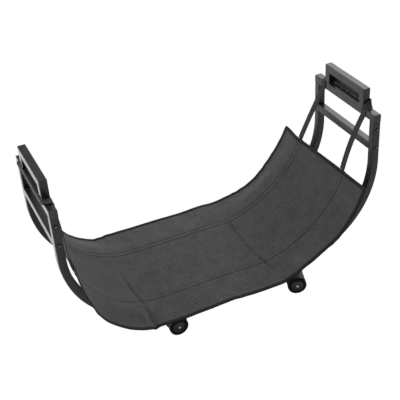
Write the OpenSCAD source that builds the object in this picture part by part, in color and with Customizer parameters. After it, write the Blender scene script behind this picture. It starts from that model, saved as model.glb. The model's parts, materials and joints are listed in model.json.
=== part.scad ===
// Fireside log cart: two bent square-tube rails joined by crossbars, a fabric
// sling hung between them on webbing, and four twin-wheel swivel casters.
// X runs along the cart, Y across it and Z up. Z = 0 is the floor.

/* [Frame] */
// Length over the outer faces of the rails
frame_length = 848; // [760:2:960]
// Depth over the outer faces of the two rails
frame_depth = 276; // [252:2:340]
// Height of the top of the crossbars above the floor
frame_top = 460; // [445:1:540]
// Side of the square tube
tube = 20; // [18:0.5:24]
// Wall of the square tube
tube_wall = 1.5; // [1:0.1:2]
// Corner radius of the square tube
tube_corner = 2; // [0.5:0.25:2.5]
// Outer bend radius of the rails
bend_radius = 245; // [200:5:260]

/* [Ends] */
// Gap between a handle and the rail beside it, where a strap passes
strap_gap = 29.5; // [26:0.5:45]
// Height of a handle above its crossbar
handle_rise = 51; // [42:1:80]
// From the top of the frame down to the top of the lower crossbar
lower_bar_drop = 82; // [76:1:90]
// From the top of the frame down to the upper bolts
upper_bolt_drop = 41; // [32:1:50]
// Length of a stub that holds the top crossbar in its rail
stub_length = 40; // [34:1:45]
// Gap between a stub and the inside of its rail, on each side
stub_gap = 0.2; // [0.1:0.05:0.4]

/* [Fasteners] */
// Diameter of the frame bolts
bolt_d = 6; // [5:0.5:6]
// Diameter of a bolt's button head
head_d = 10.5; // [9.5:0.5:13]
// Height of a bolt's button head
head_h = 3.3; // [2.5:0.1:4]
// Width across the flats of a bolt's socket
socket_flats = 4; // [3:0.5:4.5]
// Extra diameter of a hole that a bolt or stem passes through
hole_play = 0.4; // [0.2:0.1:0.8]
// Width across the flats of a nut on an upper bolt
nut_flats = 10; // [9:0.5:11]
// Length of a nut on an upper bolt
nut_length = 6; // [4:0.5:8]
// Length of a threaded plug in the lower crossbar
plug_length = 22; // [16:1:30]
// Thickness of a tube end cap
cap_t = 1.5; // [1:0.1:2.5]
// Depth of the part of a cap inside its tube
cap_depth = 3; // [2:0.5:4]

/* [Casters] */
// From the floor to the underside of the caster beams
caster_height = 64; // [62:0.5:80]
// From the middle of a caster beam to the start of the rails' bend
caster_inset = 7; // [7:0.5:60]
// Diameter of a wheel
wheel_d = 50; // [44:1:50]
// Width of one wheel
wheel_w = 14; // [10:0.5:18]
// Radial thickness of a tyre
tyre_t = 9; // [4:0.5:10]
// Distance from the swivel axis to the axle
caster_trail = 15; // [12:0.5:18]
// Width of the caster body between its wheels
web_w = 12; // [11:0.5:16]
// Gap between a wheel and the caster body beside it
wheel_side_gap = 0.5; // [0.3:0.1:1]
// Gap between a tyre and the fender over it
fender_gap = 1.2; // [0.8:0.1:2]
// Thickness of the fender
fender_t = 2; // [1.5:0.1:3]
// Diameter of the axle
axle_d = 6; // [5:0.5:8]
// Diameter of the caster stem
stem_d = 8; // [7:0.5:8]
// Width across the flats of the stem's collar
collar_flats = 15; // [13:0.5:17]
// Thickness of the stem's collar
collar_h = 5; // [3:0.5:6]
// Length of the stem's spigot inside the caster body
spigot_length = 22; // [18:0.5:23]
// Diameter of the caster body's neck
neck_d = 17; // [15:0.5:20]
// Radial running clearance of the axles and spigots
run_gap = 0.05; // [0.02:0.01:0.08]
// How far the front right caster is swivelled on its stem
front_right_swivel = -18; // [-180:1:180]

/* [Sling] */
// Overhang of the sling beyond the outer face of each rail
sling_overhang = 70; // [20:1:90]
// Thickness of the sling's cloth
sling_t = 1.6; // [1:0.1:3]
// Width of the binding round the sling's edge
binding_w = 9; // [6:0.5:14]
// Extra thickness of the binding over the cloth
binding_extra = 1.4; // [0.6:0.1:3]
// Radius of the sling where it rises at the left
left_radius = 217; // [190:1:222]
// Angle through which the sling rises at the left
left_angle = 85; // [60:1:88]
// Radius of the sling where it rises at the right
right_radius = 306; // [260:1:320]
// Angle through which the sling rises at the right
right_angle = 70; // [50:1:74]
// From the right end of the sling's flat to the start of the rails' bend
flat_short = 72; // [60:1:110]
// Angle of the crease at the right end of the flat
right_crease = 10; // [1:0.5:14]
// Gap between the rails and the sling where it has turned upright at the left
left_lift = 11; // [4:0.5:20]
// Gap between the sling or webbing and what it lies on
soft_gap = 0.3; // [0.3:0.1:1]
// Width of the webbing
webbing_w = 20; // [16:0.5:26]
// Thickness of the webbing
webbing_t = 2; // [1:0.1:3]
// Height of the webbing's outer run above the left crossbar's top
left_band_rise = 5; // [2:0.5:14]
// Height of the webbing's outer run above the right crossbar's top
right_band_rise = 18; // [4:0.5:19]
// Bow of the slack webbing at the left
left_bow = 2; // [1:0.5:10]

/* [Hidden] */
$fn = 64;

satin_black = "#1f2022";
cloth_grey = "#3d3e40";
tape_black = "#17181a";
plastic_black = "#26272a";
tyre_black = "#111112";
steel = "#8d9093";

// Frame
half_length = frame_length / 2;
half_depth = frame_depth / 2;
leg_x = half_length - tube / 2;
rail_y = half_depth - tube / 2;
rail_inner_y = half_depth - tube;
handle_length = 2 * (rail_inner_y - strap_gap);
inside = tube - 2 * tube_wall;
rail_bottom = caster_height + tube;
bend_x = half_length - bend_radius;
bend_z = rail_bottom + bend_radius;
leg_top = frame_top - tube;
upper_bolt_z = frame_top - upper_bolt_drop;
lower_bar_z = frame_top - lower_bar_drop - tube / 2;
eps = 0.01;

// Fasteners
bolt_r = bolt_d / 2;
bolt_hole_r = (bolt_d + hole_play) / 2;
thread_gap = 0.05;
upper_bolt_tip = 1;
plug_end = 2;
crossbar_bolt_reach = plug_length - 2 * plug_end;
plug_gap = 0.1;
weld_nut_side = 13;
weld_nut_h = 6.5;
stem_tip = 1;

// Casters
corners = [["front_left", -1, -1, 0], ["front_right", 1, -1, front_right_swivel],
    ["rear_left", -1, 1, 0], ["rear_right", 1, 1, 0]];
beam_x = bend_x - caster_inset;
wheel_r = wheel_d / 2;
hub_r = wheel_r - tyre_t;
wheel_inner_y = web_w / 2 + wheel_side_gap;
hub_face = 2;
axle_end_gap = 1.5;
axle_half = wheel_inner_y + wheel_w - hub_face - axle_end_gap;
stem_r = stem_d / 2;
stem_hole_r = (stem_d + hole_play) / 2;
hood_top = caster_height - collar_h - soft_gap;
spigot_bottom = caster_height - collar_h - spigot_length;
fender_in = wheel_r + fender_gap;
fender_out = fender_in + fender_t;
fender_from = 40;
fender_to = 165;
ring_z = spigot_bottom + 4;
ring_h = 1.2;
ring_r = stem_r + 0.5;
ring_gap = 0.1;
groove_r = stem_r - 0.6;

// Sling and webbing
sling_z = rail_bottom + tube + soft_gap;
sling_width = frame_depth + 2 * sling_overhang;
flat_end = bend_x - flat_short;
left_turn_x = -half_length + tube + left_lift + left_radius;
left_turn_z = sling_z + left_radius;
right_turn_x = flat_end - right_radius * sin(right_crease);
right_turn_z = sling_z + right_radius * cos(right_crease);
webbing_y = rail_inner_y - strap_gap / 2;
sewn_gap = 0.1;
left_tape = binding_w / left_radius * 180 / PI;
right_tape = binding_w / right_radius * 180 / PI;
webbing_middle = sewn_gap + webbing_t / 2;
left_end = [left_turn_x, left_turn_z]
    - (left_radius + webbing_middle) * [sin(left_angle), cos(left_angle)];
right_end = [right_turn_x, right_turn_z]
    + (right_radius + webbing_middle) * [sin(right_angle), -cos(right_angle)];

module at_ends(x) {
    for (s = [-1, 1]) translate([s * x, 0, 0]) children();
}

// Turns a shape made for the front half so that it also serves the rear half
module front_and_rear() {
    children();
    mirror([0, 1, 0]) children();
}

module rounded_square(side, corner) {
    square([side, side - 2 * corner], center = true);
    square([side - 2 * corner, side], center = true);
    for (x = [-1, 1], y = [-1, 1]) translate([x, y] * (side / 2 - corner)) circle(r = corner);
}

module tube_section() {
    difference() {
        rounded_square(tube, tube_corner);
        square(inside, center = true);
    }
}

module tube_across(length) {
    translate([0, length / 2, 0]) rotate([90, 0, 0]) linear_extrude(length) tube_section();
}

// A cylinder along Y, from y0 to y1
module pin_y(r, y0, y1) {
    translate([0, y1, 0]) rotate([90, 0, 0]) cylinder(r = r, h = y1 - y0);
}

// A bend about an axis along Y at (x, z), from one angle through a sweep
module turned(x, z, from, sweep) {
    translate([x, 0, z]) rotate([90, 0, 0]) rotate([0, 0, from]) rotate_extrude(angle = sweep, $fn = 180)
        children();
}

// One rail, centred on Y = 0: two legs, two bends and the straight below
module rail() {
    color(satin_black) difference() {
        union() {
            at_ends(leg_x) translate([0, 0, bend_z]) linear_extrude(leg_top - bend_z) tube_section();
            turned(bend_x, bend_z, -90, 90) translate([bend_radius - tube / 2, 0]) tube_section();
            turned(-bend_x, bend_z, 180, 90) translate([bend_radius - tube / 2, 0]) tube_section();
            translate([-bend_x, 0, rail_bottom + tube / 2]) rotate([0, 90, 0])
                linear_extrude(2 * bend_x) tube_section();
        }
        at_ends(leg_x) for (z = [upper_bolt_z, lower_bar_z])
            translate([0, 0, z]) pin_y(bolt_hole_r, -tube, tube);
        at_ends(beam_x) translate([0, 0, rail_bottom - tube / 2])
            cylinder(r = stem_hole_r, h = tube / 2 + 2 * tube_wall);
    }
}

module top_crossbar() {
    color(satin_black) translate([0, 0, frame_top - tube / 2]) tube_across(frame_depth - 2 * cap_t);
}

// A square cap whose plug is inside the tube behind it, facing -Y
module tube_cap() {
    plug = inside - 2 * plug_gap;
    color(plastic_black) {
        translate([0, cap_t, 0]) rotate([90, 0, 0]) linear_extrude(cap_t) rounded_square(tube, tube_corner);
        translate([-plug / 2, cap_t - eps, -plug / 2]) cube([plug, cap_depth + eps, plug]);
    }
}

module caps(x, z) {
    at_ends(x) front_and_rear() translate([0, -half_depth, z]) tube_cap();
}

// Cuts a post's top or a grip's end along the mitre at the handle's front corner
module mitred(above) {
    out = handle_length / 2;
    near = [out + 1, handle_rise + 1];
    far = [out - tube - 1, handle_rise - tube - 1];
    difference() {
        children();
        for (s = above ? [-1, 1] : [-1]) translate([tube, 0, 0]) rotate([90, 0, -90])
            linear_extrude(2 * tube) polygon([[-s * near[0], near[1]], [-s * far[0], far[1]],
                above ? [-s * near[0], far[1]] : [-s * far[0], near[1]]]);
    }
}

// Three lengths of tube mitred into an upside-down U
module handle() {
    color(satin_black) translate([0, 0, frame_top]) union() {
        front_and_rear() mitred(false) translate([0, -handle_length / 2 + tube / 2, 0])
            linear_extrude(handle_rise) tube_section();
        mitred(true) translate([0, 0, handle_rise - tube / 2]) tube_across(handle_length);
    }
}

module rail_stubs() {
    side = inside - 2 * stub_gap;
    color(satin_black) front_and_rear() translate([0, -rail_y, leg_top - stub_length]) difference() {
        linear_extrude(stub_length) difference() {
            square(side, center = true);
            square(side - 2 * tube_wall, center = true);
        }
        translate([0, 0, upper_bolt_z - leg_top + stub_length]) pin_y(bolt_hole_r, -tube, tube);
    }
}

module lower_crossbar() {
    color(satin_black) translate([0, 0, lower_bar_z]) tube_across(2 * rail_inner_y);
}

module crossbar_plug() {
    side = inside - 2 * plug_gap;
    color(steel) difference() {
        translate([-side / 2, -rail_inner_y, -side / 2]) cube([side, plug_length, side]);
        pin_y(bolt_r + thread_gap, -rail_inner_y - 1, -rail_inner_y + plug_length - plug_end);
    }
}

// A button-head bolt whose head bears on the rail's outer face
module button_bolt(shank) {
    dome_r = (pow(head_d / 2, 2) + pow(head_h, 2)) / (2 * head_h);
    color(satin_black) difference() {
        union() {
            pin_y(bolt_r, -half_depth - 0.5, -half_depth + shank);
            intersection() {
                translate([0, -half_depth + dome_r - head_h, 0]) sphere(r = dome_r);
                pin_y(head_d, -half_depth - head_h - 1, -half_depth);
            }
        }
        translate([0, -half_depth - head_h * 0.3, 0]) rotate([90, 30, 0])
            cylinder(d = socket_flats / cos(30), h = head_h, $fn = 6);
    }
}

module upper_nut() {
    color(satin_black) difference() {
        translate([0, -rail_inner_y, 0]) rotate([-90, 0, 0])
            cylinder(d = nut_flats / cos(30), h = nut_length, $fn = 6);
        pin_y(bolt_r + thread_gap, -half_depth, 0);
    }
}

module frame_fasteners(z) {
    at_ends(leg_x) front_and_rear() translate([0, 0, z]) children();
}

module caster_beam() {
    color(satin_black) difference() {
        translate([0, 0, caster_height + tube / 2]) tube_across(frame_depth - 2 * cap_t);
        front_and_rear() translate([0, -rail_y, caster_height - 1]) cylinder(r = stem_hole_r, h = tube + 2);
    }
}

module weld_nut() {
    color(steel) translate([0, 0, rail_bottom + tube_wall]) difference() {
        linear_extrude(weld_nut_h) square(weld_nut_side, center = true);
        translate([0, 0, -1]) cylinder(r = stem_r + thread_gap, h = weld_nut_h + 2);
    }
}

// Threaded stem through the beam into the rail's nut, collar and grooved spigot
module stem() {
    color(steel) difference() {
        union() {
            translate([0, 0, spigot_bottom])
                cylinder(r = stem_r, h = rail_bottom + tube_wall + weld_nut_h + stem_tip - spigot_bottom);
            translate([0, 0, caster_height - collar_h])
                cylinder(d = collar_flats / cos(30), h = collar_h, $fn = 6);
        }
        translate([0, 0, ring_z]) difference() {
            cylinder(r = stem_r + 1, h = ring_h + 2 * ring_gap);
            translate([0, 0, -1]) cylinder(r = groove_r, h = ring_h + 3);
        }
    }
}

// Snap ring that keeps the caster body on its spigot
module snap_ring() {
    color(steel) translate([0, 0, ring_z + ring_gap]) difference() {
        cylinder(r = ring_r, h = ring_h);
        translate([0, 0, -1]) cylinder(r = groove_r + thread_gap, h = ring_h + 2);
    }
}

module fender_sector() {
    far = 3 * wheel_d;
    polygon(concat([[0, 0]], [for (a = [fender_from, (fender_from + fender_to) / 2, fender_to])
        far * [cos(a), sin(a)]]));
}

// Side view of the caster body, with the axle at the origin
module web_outline() {
    circle(r = axle_d / 2 + 7);
    intersection() {
        circle(r = fender_out);
        fender_sector();
    }
    translate([-caster_trail - web_w / 2, spigot_bottom - wheel_r - 3])
        square([web_w, hood_top - spigot_bottom + 3]);
}

module fender_outline() {
    intersection() {
        difference() {
            circle(r = fender_out);
            circle(r = fender_in);
        }
        fender_sector();
    }
}

module extruded_across(width) {
    translate([0, width / 2, 0]) rotate([90, 0, 0]) linear_extrude(width) children();
}

// Caster body with its swivel axis at the origin and its axle behind it
module hood() {
    fender_w = 2 * (wheel_inner_y + wheel_w);
    color(plastic_black) difference() {
        union() {
            translate([caster_trail, 0, wheel_r]) {
                extruded_across(web_w) web_outline();
                extruded_across(fender_w) fender_outline();
            }
            difference() {
                translate([0, 0, wheel_r]) cylinder(d = neck_d, h = hood_top - wheel_r);
                translate([caster_trail, 0, wheel_r]) pin_y(fender_in, -wheel_w, wheel_w);
            }
        }
        translate([0, 0, spigot_bottom - 1]) cylinder(r = stem_r + run_gap, h = hood_top);
        translate([0, 0, ring_z - 2 * ring_gap]) cylinder(r = ring_r + ring_gap, h = ring_h + 6 * ring_gap);
        translate([caster_trail, 0, wheel_r]) pin_y(axle_d / 2, -web_w, web_w);
    }
}

module axle() {
    color(steel) translate([caster_trail, 0, wheel_r]) pin_y(axle_d / 2, -axle_half, axle_half);
}

// Half section of a hub: radius along X, from its inner face to its outer face along Y
module hub_section() {
    dome_r = hub_r * 0.56;
    dome_ball = 30;
    dome_rise = 1.6;
    wall = 3;
    lip = 1.8;
    dish = 1.2;
    difference() {
        union() {
            square([hub_r - run_gap, wheel_w]);
            intersection() {
                translate([0, wheel_w + dome_rise - dome_ball]) circle(r = dome_ball, $fn = 128);
                translate([0, wheel_w / 2]) square([dome_r, wheel_w]);
            }
        }
        translate([-1, -1]) square([axle_d / 2 + run_gap + 1, wheel_w - hub_face]);
        translate([axle_d / 2 + wall, -1]) square([hub_r - axle_d / 2 - 2 * wall, wheel_w - wall]);
        translate([dome_r, wheel_w - dish]) square([hub_r - dome_r - lip, 2]);
    }
}

module tyre_section() {
    edge = min(tyre_t / 2, wheel_w / 4);
    translate([hub_r, 0]) square([tyre_t - edge, wheel_w]);
    translate([hub_r, edge]) square([tyre_t, wheel_w - 2 * edge]);
    for (y = [edge, wheel_w - edge]) translate([wheel_r - edge, y]) circle(r = edge);
}

// Puts a wheel section on the axle; side is -1 for the outer wheel and 1 for the inner
module wheel_place(side) {
    translate([caster_trail, side * wheel_inner_y, wheel_r]) rotate([-90 * side, 0, 0])
        rotate_extrude($fn = 96) intersection() {
            children();
            translate([0, -eps]) square([wheel_d, 2 * wheel_w]);
        }
}

module hub(side) {
    color(plastic_black) wheel_place(side) hub_section();
}

module tyre(side) {
    color(tyre_black) wheel_place(side) tyre_section();
}

// Everything above the sling's underside, raised by rise, in a side view
module above_sling(rise) {
    translate([left_turn_x, left_turn_z]) circle(r = left_radius - rise, $fn = 180);
    translate([left_turn_x, sling_z + rise]) square([right_turn_x - left_turn_x, frame_length]);
    intersection() {
        translate([right_turn_x, right_turn_z]) circle(r = right_radius - rise, $fn = 180);
        translate([right_turn_x, sling_z + rise]) square(frame_length);
    }
}

// The side view that the sling fills as far as these angles at its ends
module sling_reach(left_turn, right_turn) {
    far = 2 * frame_length;
    left_centre = [left_turn_x, left_turn_z];
    right_centre = [right_turn_x, right_turn_z];
    polygon([left_centre, right_centre, right_centre + far * [sin(right_turn), -cos(right_turn)],
        [far, -far], [-far, -far], left_centre - far * [sin(left_turn), cos(left_turn)]]);
}

// Side view of a layer whose faces lie low and high above the sling's underside
module layer_outline(low, high, left_turn = left_angle, right_turn = right_angle) {
    intersection() {
        difference() {
            above_sling(low);
            above_sling(high);
        }
        sling_reach(left_turn, right_turn);
    }
}

module sling_cloth() {
    color(cloth_grey) extruded_across(sling_width - 2 * binding_w)
        layer_outline(0, sling_t, left_angle - left_tape, right_angle - right_tape);
}

// Tape folded round all four edges of the cloth
module sling_binding() {
    tape_t = sling_t + binding_extra;
    color(tape_black) difference() {
        extruded_across(sling_width) layer_outline(0, tape_t);
        extruded_across(sling_width - 2 * binding_w)
            layer_outline(-1, tape_t + 1, left_angle - left_tape, right_angle - right_tape);
    }
}

module sling_webbing(side) {
    color(tape_black) translate([0, side * webbing_y, 0]) extruded_across(webbing_w)
        layer_outline(-sewn_gap - webbing_t, -sewn_gap);
}

// Points from a to b, bowed sideways by bow in the middle
function bowed(a, b, bow, steps) = let (along = b - a, side = [along[1], -along[0]] / norm(along))
    [for (i = [0 : steps]) a + along * i / steps + side * bow * sin(180 * i / steps)];

// Route of the carry webbing from the sling's end over a crossbar, for the right end
function over_bar(bar, band_rise) = let (
        near = bar - tube / 2 - soft_gap - webbing_t / 2,
        far = bar + tube / 2 + soft_gap + webbing_t / 2,
        top = frame_top + soft_gap + webbing_t / 2, low = frame_top + band_rise - webbing_w,
        round = webbing_t)
    [[near, leg_top], [near, top - round], [near + round * 0.3, top - round * 0.3], [near + round, top],
        [far - round, top], [far - round * 0.3, top - round * 0.3], [far, top - round], [far, low]];

// Side view of a strip of webbing along a route
module strip_outline(route) {
    last = len(route) - 1;
    direction = [for (i = [0 : last]) let (d = route[min(i + 1, last)] - route[max(i - 1, 0)]) d / norm(d)];
    offset_by = [for (d = direction) [-d[1], d[0]] * webbing_t / 2];
    polygon(concat([for (i = [0 : last]) route[i] + offset_by[i]],
        [for (i = [last : -1 : 0]) route[i] - offset_by[i]]));
}

// Both straps of one end and the run round the outside of the handle's foot
module carry_webbing(start, bow, band_rise) {
    over = over_bar(leg_x, band_rise);
    rise = over[0] - start;
    slack = bowed(start + soft_gap * rise / norm(rise), over[0], bow, bow == 0 ? 1 : 12);
    route = concat(slack, [for (i = [1 : len(over) - 1]) over[i]]);
    color(tape_black) {
        front_and_rear() translate([0, -webbing_y, 0]) extruded_across(webbing_w) strip_outline(route);
        translate([half_length + soft_gap, -webbing_y - webbing_w / 2, frame_top + band_rise - webbing_w])
            cube([webbing_t, 2 * webbing_y + webbing_w, webbing_w]);
    }
}

translate([0, -rail_y, 0]) rail();  // front_rail
translate([0, rail_y, 0]) rail();  // rear_rail
translate([-leg_x, 0, 0]) top_crossbar();  // left_top_crossbar
translate([leg_x, 0, 0]) top_crossbar();  // right_top_crossbar
caps(leg_x, frame_top - tube / 2);  // top_crossbar_caps
translate([-leg_x, 0, 0]) handle();  // left_handle
translate([leg_x, 0, 0]) handle();  // right_handle
translate([-leg_x, 0, 0]) rail_stubs();  // left_rail_stubs
translate([leg_x, 0, 0]) rail_stubs();  // right_rail_stubs
translate([-leg_x, 0, 0]) lower_crossbar();  // left_lower_crossbar
translate([leg_x, 0, 0]) lower_crossbar();  // right_lower_crossbar
frame_fasteners(lower_bar_z) crossbar_plug();  // crossbar_plugs
frame_fasteners(upper_bolt_z) button_bolt(tube + nut_length + upper_bolt_tip);  // upper_bolts
frame_fasteners(upper_bolt_z) upper_nut();  // upper_bolt_nuts
frame_fasteners(lower_bar_z) button_bolt(tube + crossbar_bolt_reach);  // crossbar_bolts
translate([-beam_x, 0, 0]) caster_beam();  // left_caster_beam
translate([beam_x, 0, 0]) caster_beam();  // right_caster_beam
caps(beam_x, caster_height + tube / 2);  // beam_caps
at_ends(beam_x) front_and_rear() translate([0, -rail_y, 0]) weld_nut();  // rail_weld_nuts
at_ends(beam_x) front_and_rear() translate([0, -rail_y, 0]) snap_ring();  // stem_snap_rings
sling_cloth();
sling_binding();
sling_webbing(-1);  // front_sling_webbing
sling_webbing(1);  // rear_sling_webbing
mirror([1, 0, 0]) carry_webbing([-left_end[0], left_end[1]], -left_bow, left_band_rise);  // left_carry_webbing
carry_webbing(right_end, 0, right_band_rise);  // right_carry_webbing

for (c = corners) translate([c[1] * beam_x, c[2] * rail_y, 0]) {
    stem();
    rotate([0, 0, c[3]]) {
        hood();
        axle();
        hub(c[2]);
        tyre(c[2]);
        hub(-c[2]);
        tyre(-c[2]);
    }
}
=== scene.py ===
"""Fireside log cart: powder-coated square tube, a bound cloth sling, webbing loops and casters.

Lengths are in metres. +X runs along the cart, +Y across it, away from the viewer, and +Z up.
"""

import json
import math

import bpy
from mathutils import Matrix, Vector, noise


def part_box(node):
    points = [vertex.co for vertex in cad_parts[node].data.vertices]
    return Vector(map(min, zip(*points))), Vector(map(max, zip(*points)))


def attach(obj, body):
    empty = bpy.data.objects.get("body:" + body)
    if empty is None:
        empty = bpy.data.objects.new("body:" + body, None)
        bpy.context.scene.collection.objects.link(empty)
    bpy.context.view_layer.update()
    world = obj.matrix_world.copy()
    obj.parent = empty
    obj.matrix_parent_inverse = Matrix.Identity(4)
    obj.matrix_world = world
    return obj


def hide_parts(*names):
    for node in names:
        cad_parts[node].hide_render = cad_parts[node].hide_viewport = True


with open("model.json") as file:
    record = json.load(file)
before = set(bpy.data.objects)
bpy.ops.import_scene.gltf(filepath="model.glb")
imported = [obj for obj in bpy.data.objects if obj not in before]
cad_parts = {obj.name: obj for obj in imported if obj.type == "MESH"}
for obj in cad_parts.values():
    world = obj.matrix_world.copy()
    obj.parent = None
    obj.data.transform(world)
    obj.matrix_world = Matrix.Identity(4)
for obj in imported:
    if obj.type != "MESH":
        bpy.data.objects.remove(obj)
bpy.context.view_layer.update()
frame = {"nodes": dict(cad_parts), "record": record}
MM = 0.001

# ---------------------------------------------------------------- sizes

rail_low, rail_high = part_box("front_rail")
TUBE = rail_high.y - rail_low.y
HALF_LENGTH = rail_high.x
HALF_DEPTH = -rail_low.y
RAIL_Y = HALF_DEPTH - TUBE / 2
RAIL_INNER_Y = HALF_DEPTH - TUBE
LEG_X = HALF_LENGTH - TUBE / 2
LEG_TOP = rail_high.z
RAIL_BOTTOM = rail_low.z
FRAME_TOP = LEG_TOP + TUBE
BEND_RADIUS = 245 * MM
BEND_X = HALF_LENGTH - BEND_RADIUS
BEND_Z = RAIL_BOTTOM + BEND_RADIUS
TUBE_CORNER = 2 * MM
TUBE_WALL = 1.5 * MM
CUT_EDGE = 0.3 * MM
CAP_T = 1.5 * MM
BEAM_X = sum(corner.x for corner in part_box("right_caster_beam")) / 2
BEAM_Z = sum(corner.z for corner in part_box("right_caster_beam")) / 2
LOWER_BAR_Z = sum(corner.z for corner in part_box("right_lower_crossbar")) / 2
UPPER_BOLT_Z = sum(corner.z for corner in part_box("upper_bolts")) / 2

# Seen from the front, the sling's line is an arc at the left, a flat, and a wider arc that leaves the
# flat at a first slope. LEFT_LIFT is how far the left arc stands in from the rails' legs, and FLAT_SHORT
# how far the flat ends before the rails' right bend.
binding_low, binding_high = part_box("sling_binding")
SLING_HALF_WIDTH = binding_high.y
SLING_Z = binding_low.z
LEFT_RADIUS = 217 * MM
LEFT_ANGLE = math.radians(85)
RIGHT_RADIUS = 306 * MM
RIGHT_ANGLE = math.radians(70)
FIRST_SLOPE = math.radians(10)
LEFT_LIFT = 11 * MM
FLAT_SHORT = 72 * MM
LEFT_TURN_X = -HALF_LENGTH + TUBE + LEFT_LIFT + LEFT_RADIUS
LEFT_TURN_Z = SLING_Z + LEFT_RADIUS
FLAT_END = BEND_X - FLAT_SHORT
RIGHT_TURN_X = FLAT_END - RIGHT_RADIUS * math.sin(FIRST_SLOPE)
RIGHT_TURN_Z = SLING_Z + RIGHT_RADIUS * math.cos(FIRST_SLOPE)
LEFT_RUN = LEFT_RADIUS * LEFT_ANGLE
FLAT_RUN = FLAT_END - LEFT_TURN_X
RIGHT_RUN = RIGHT_RADIUS * (RIGHT_ANGLE - FIRST_SLOPE)
SLING_LENGTH = LEFT_RUN + FLAT_RUN + RIGHT_RUN
# A run is a length along the sling from its left end. On the flat it is this much more than X.
RUN_AT_X0 = LEFT_RUN - LEFT_TURN_X

webbing_low, webbing_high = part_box("rear_sling_webbing")
WEBBING_Y = (webbing_low.y + webbing_high.y) / 2
WEBBING_WIDTH = webbing_high.y - webbing_low.y - 1 * MM
WEBBING_T = 1.8 * MM
# The air between a strap and a tube, and the middle of the sewn webbing from the sling's underside.
SOFT_GAP = 0.3 * MM
SEWN_MIDDLE = -WEBBING_T / 2 - 0.1 * MM


# ---------------------------------------------------------------- small helpers

# Points nearer than this are one. A weight above 50 lets large faces count for more than small ones.
MERGE_DISTANCE = 0.00001
FLAT_FACE_WEIGHT = 90


def deselect():
    if bpy.context.mode != "OBJECT":
        bpy.ops.object.mode_set(mode="OBJECT")
    bpy.ops.object.select_all(action="DESELECT")


def pick(piece):
    deselect()
    piece.select_set(True)
    bpy.context.view_layer.objects.active = piece


def edit(piece):
    """Opens a piece in edit mode with all of it selected."""
    pick(piece)
    bpy.ops.object.mode_set(mode="EDIT")
    select_all()


def select_all():
    bpy.ops.mesh.select_all(action="SELECT")


def merge_points():
    """In edit mode, merges the points that lie on each other, and leaves all selected."""
    select_all()
    bpy.ops.mesh.remove_doubles(threshold=MERGE_DISTANCE)


def named(piece, name):
    piece.name = name
    piece.data.name = name
    return piece


def settle(piece):
    """Puts a piece's place into its mesh, so that its object sits at the origin."""
    pick(piece)
    bpy.ops.object.transform_apply(location=True, rotation=True, scale=True)


def apply_modifiers(piece):
    pick(piece)
    for modifier in list(piece.modifiers):
        bpy.ops.object.modifier_apply(modifier=modifier.name)


def bevel_edges(piece, width, segments, angle):
    """Adds a bevel along the edges that turn by more than an angle, in degrees."""
    bevel = piece.modifiers.new("eased edges", "BEVEL")
    bevel.width = width
    bevel.segments = segments
    bevel.limit_method = "ANGLE"
    bevel.angle_limit = math.radians(angle)


def round_edges(piece, width, segments, angle):
    bevel_edges(piece, width, segments, angle)
    apply_modifiers(piece)


def smooth(piece, angle=35):
    pick(piece)
    bpy.ops.object.shade_smooth_by_angle(angle=math.radians(angle))


def flat_faces_true(piece):
    """Smooth shading that keeps the large faces flat and turns only over the small ones."""
    smooth(piece)
    weigh = piece.modifiers.new("flat faces", "WEIGHTED_NORMAL")
    weigh.keep_sharp = True
    weigh.weight = FLAT_FACE_WEIGHT
    apply_modifiers(piece)
    return piece


def face_out(piece):
    """Merges points that lie on each other, turns every face outwards, and leaves edit mode."""
    edit(piece)
    merge_points()
    bpy.ops.mesh.normals_make_consistent(inside=False)
    bpy.ops.object.mode_set(mode="OBJECT")
    return piece


def finish_piece(piece, material, body, replaces=()):
    """Gives a piece its finish and hangs it on its body."""
    piece.data.materials.clear()
    piece.data.materials.append(material)
    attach(piece, body)
    if replaces:
        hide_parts(*replaces)
    return piece


def joined(name, pieces):
    deselect()
    for piece in pieces:
        piece.select_set(True)
    bpy.context.view_layer.objects.active = pieces[0]
    if len(pieces) > 1:
        bpy.ops.object.join()
    return named(pieces[0], name)


def placed_copy(piece, name, place, turn):
    """A copy of a piece that was made at the origin, turned about Z and moved to its place."""
    pick(piece)
    bpy.ops.object.duplicate()
    twin = bpy.context.object
    twin.rotation_euler.z = turn
    twin.location = place
    settle(twin)
    return named(twin, name)


def four_as_one(master, name, x, y, z):
    """One piece of four copies, at both ends of the cart and on both sides; those at the rear face back."""
    copies = []
    for end in (-1, 1):
        for side, turn in ((-1, 0.0), (1, math.pi)):
            copies.append(placed_copy(master, "copy", (end * x, side * y, z), turn))
    return joined(name, copies)


def tip(piece, turn):
    """Turns a piece that stands on Z about X, so that it lies along Y."""
    piece.rotation_euler.x = turn
    settle(piece)


def discard(piece):
    bpy.data.objects.remove(piece)


def cut(piece, tool, operation="DIFFERENCE"):
    """Cuts a piece with a tool, which goes."""
    carve = piece.modifiers.new("cut", "BOOLEAN")
    carve.object = tool
    carve.operation = operation
    carve.solver = "EXACT"
    apply_modifiers(piece)
    discard(tool)


def piece_from(name, points, faces):
    """A mesh piece from its points and faces."""
    mesh = bpy.data.meshes.new(name)
    mesh.from_pydata([tuple(p) for p in points], [], faces)
    mesh.update()
    piece = bpy.data.objects.new(name, mesh)
    bpy.context.scene.collection.objects.link(piece)
    return piece


def map_faces(piece, maps):
    """Gives a piece a UV map: for each face, where its corners lie on the flat tape."""
    tape_map = piece.data.uv_layers.new(name="tape")
    for polygon, corners in zip(piece.data.polygons, maps):
        for loop, uv in zip(polygon.loop_indices, corners):
            tape_map.data[loop].uv = uv


def spread(low, high, pitch):
    """Even places from low to high, about pitch apart."""
    count = max(1, round((high - low) / pitch))
    return [low + (high - low) * i / count for i in range(count + 1)]


def step(value, low, high):
    """0 at low, 1 at high, smooth between."""
    t = min(max((value - low) / (high - low), 0.0), 1.0)
    return t * t * (3 - 2 * t)


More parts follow.
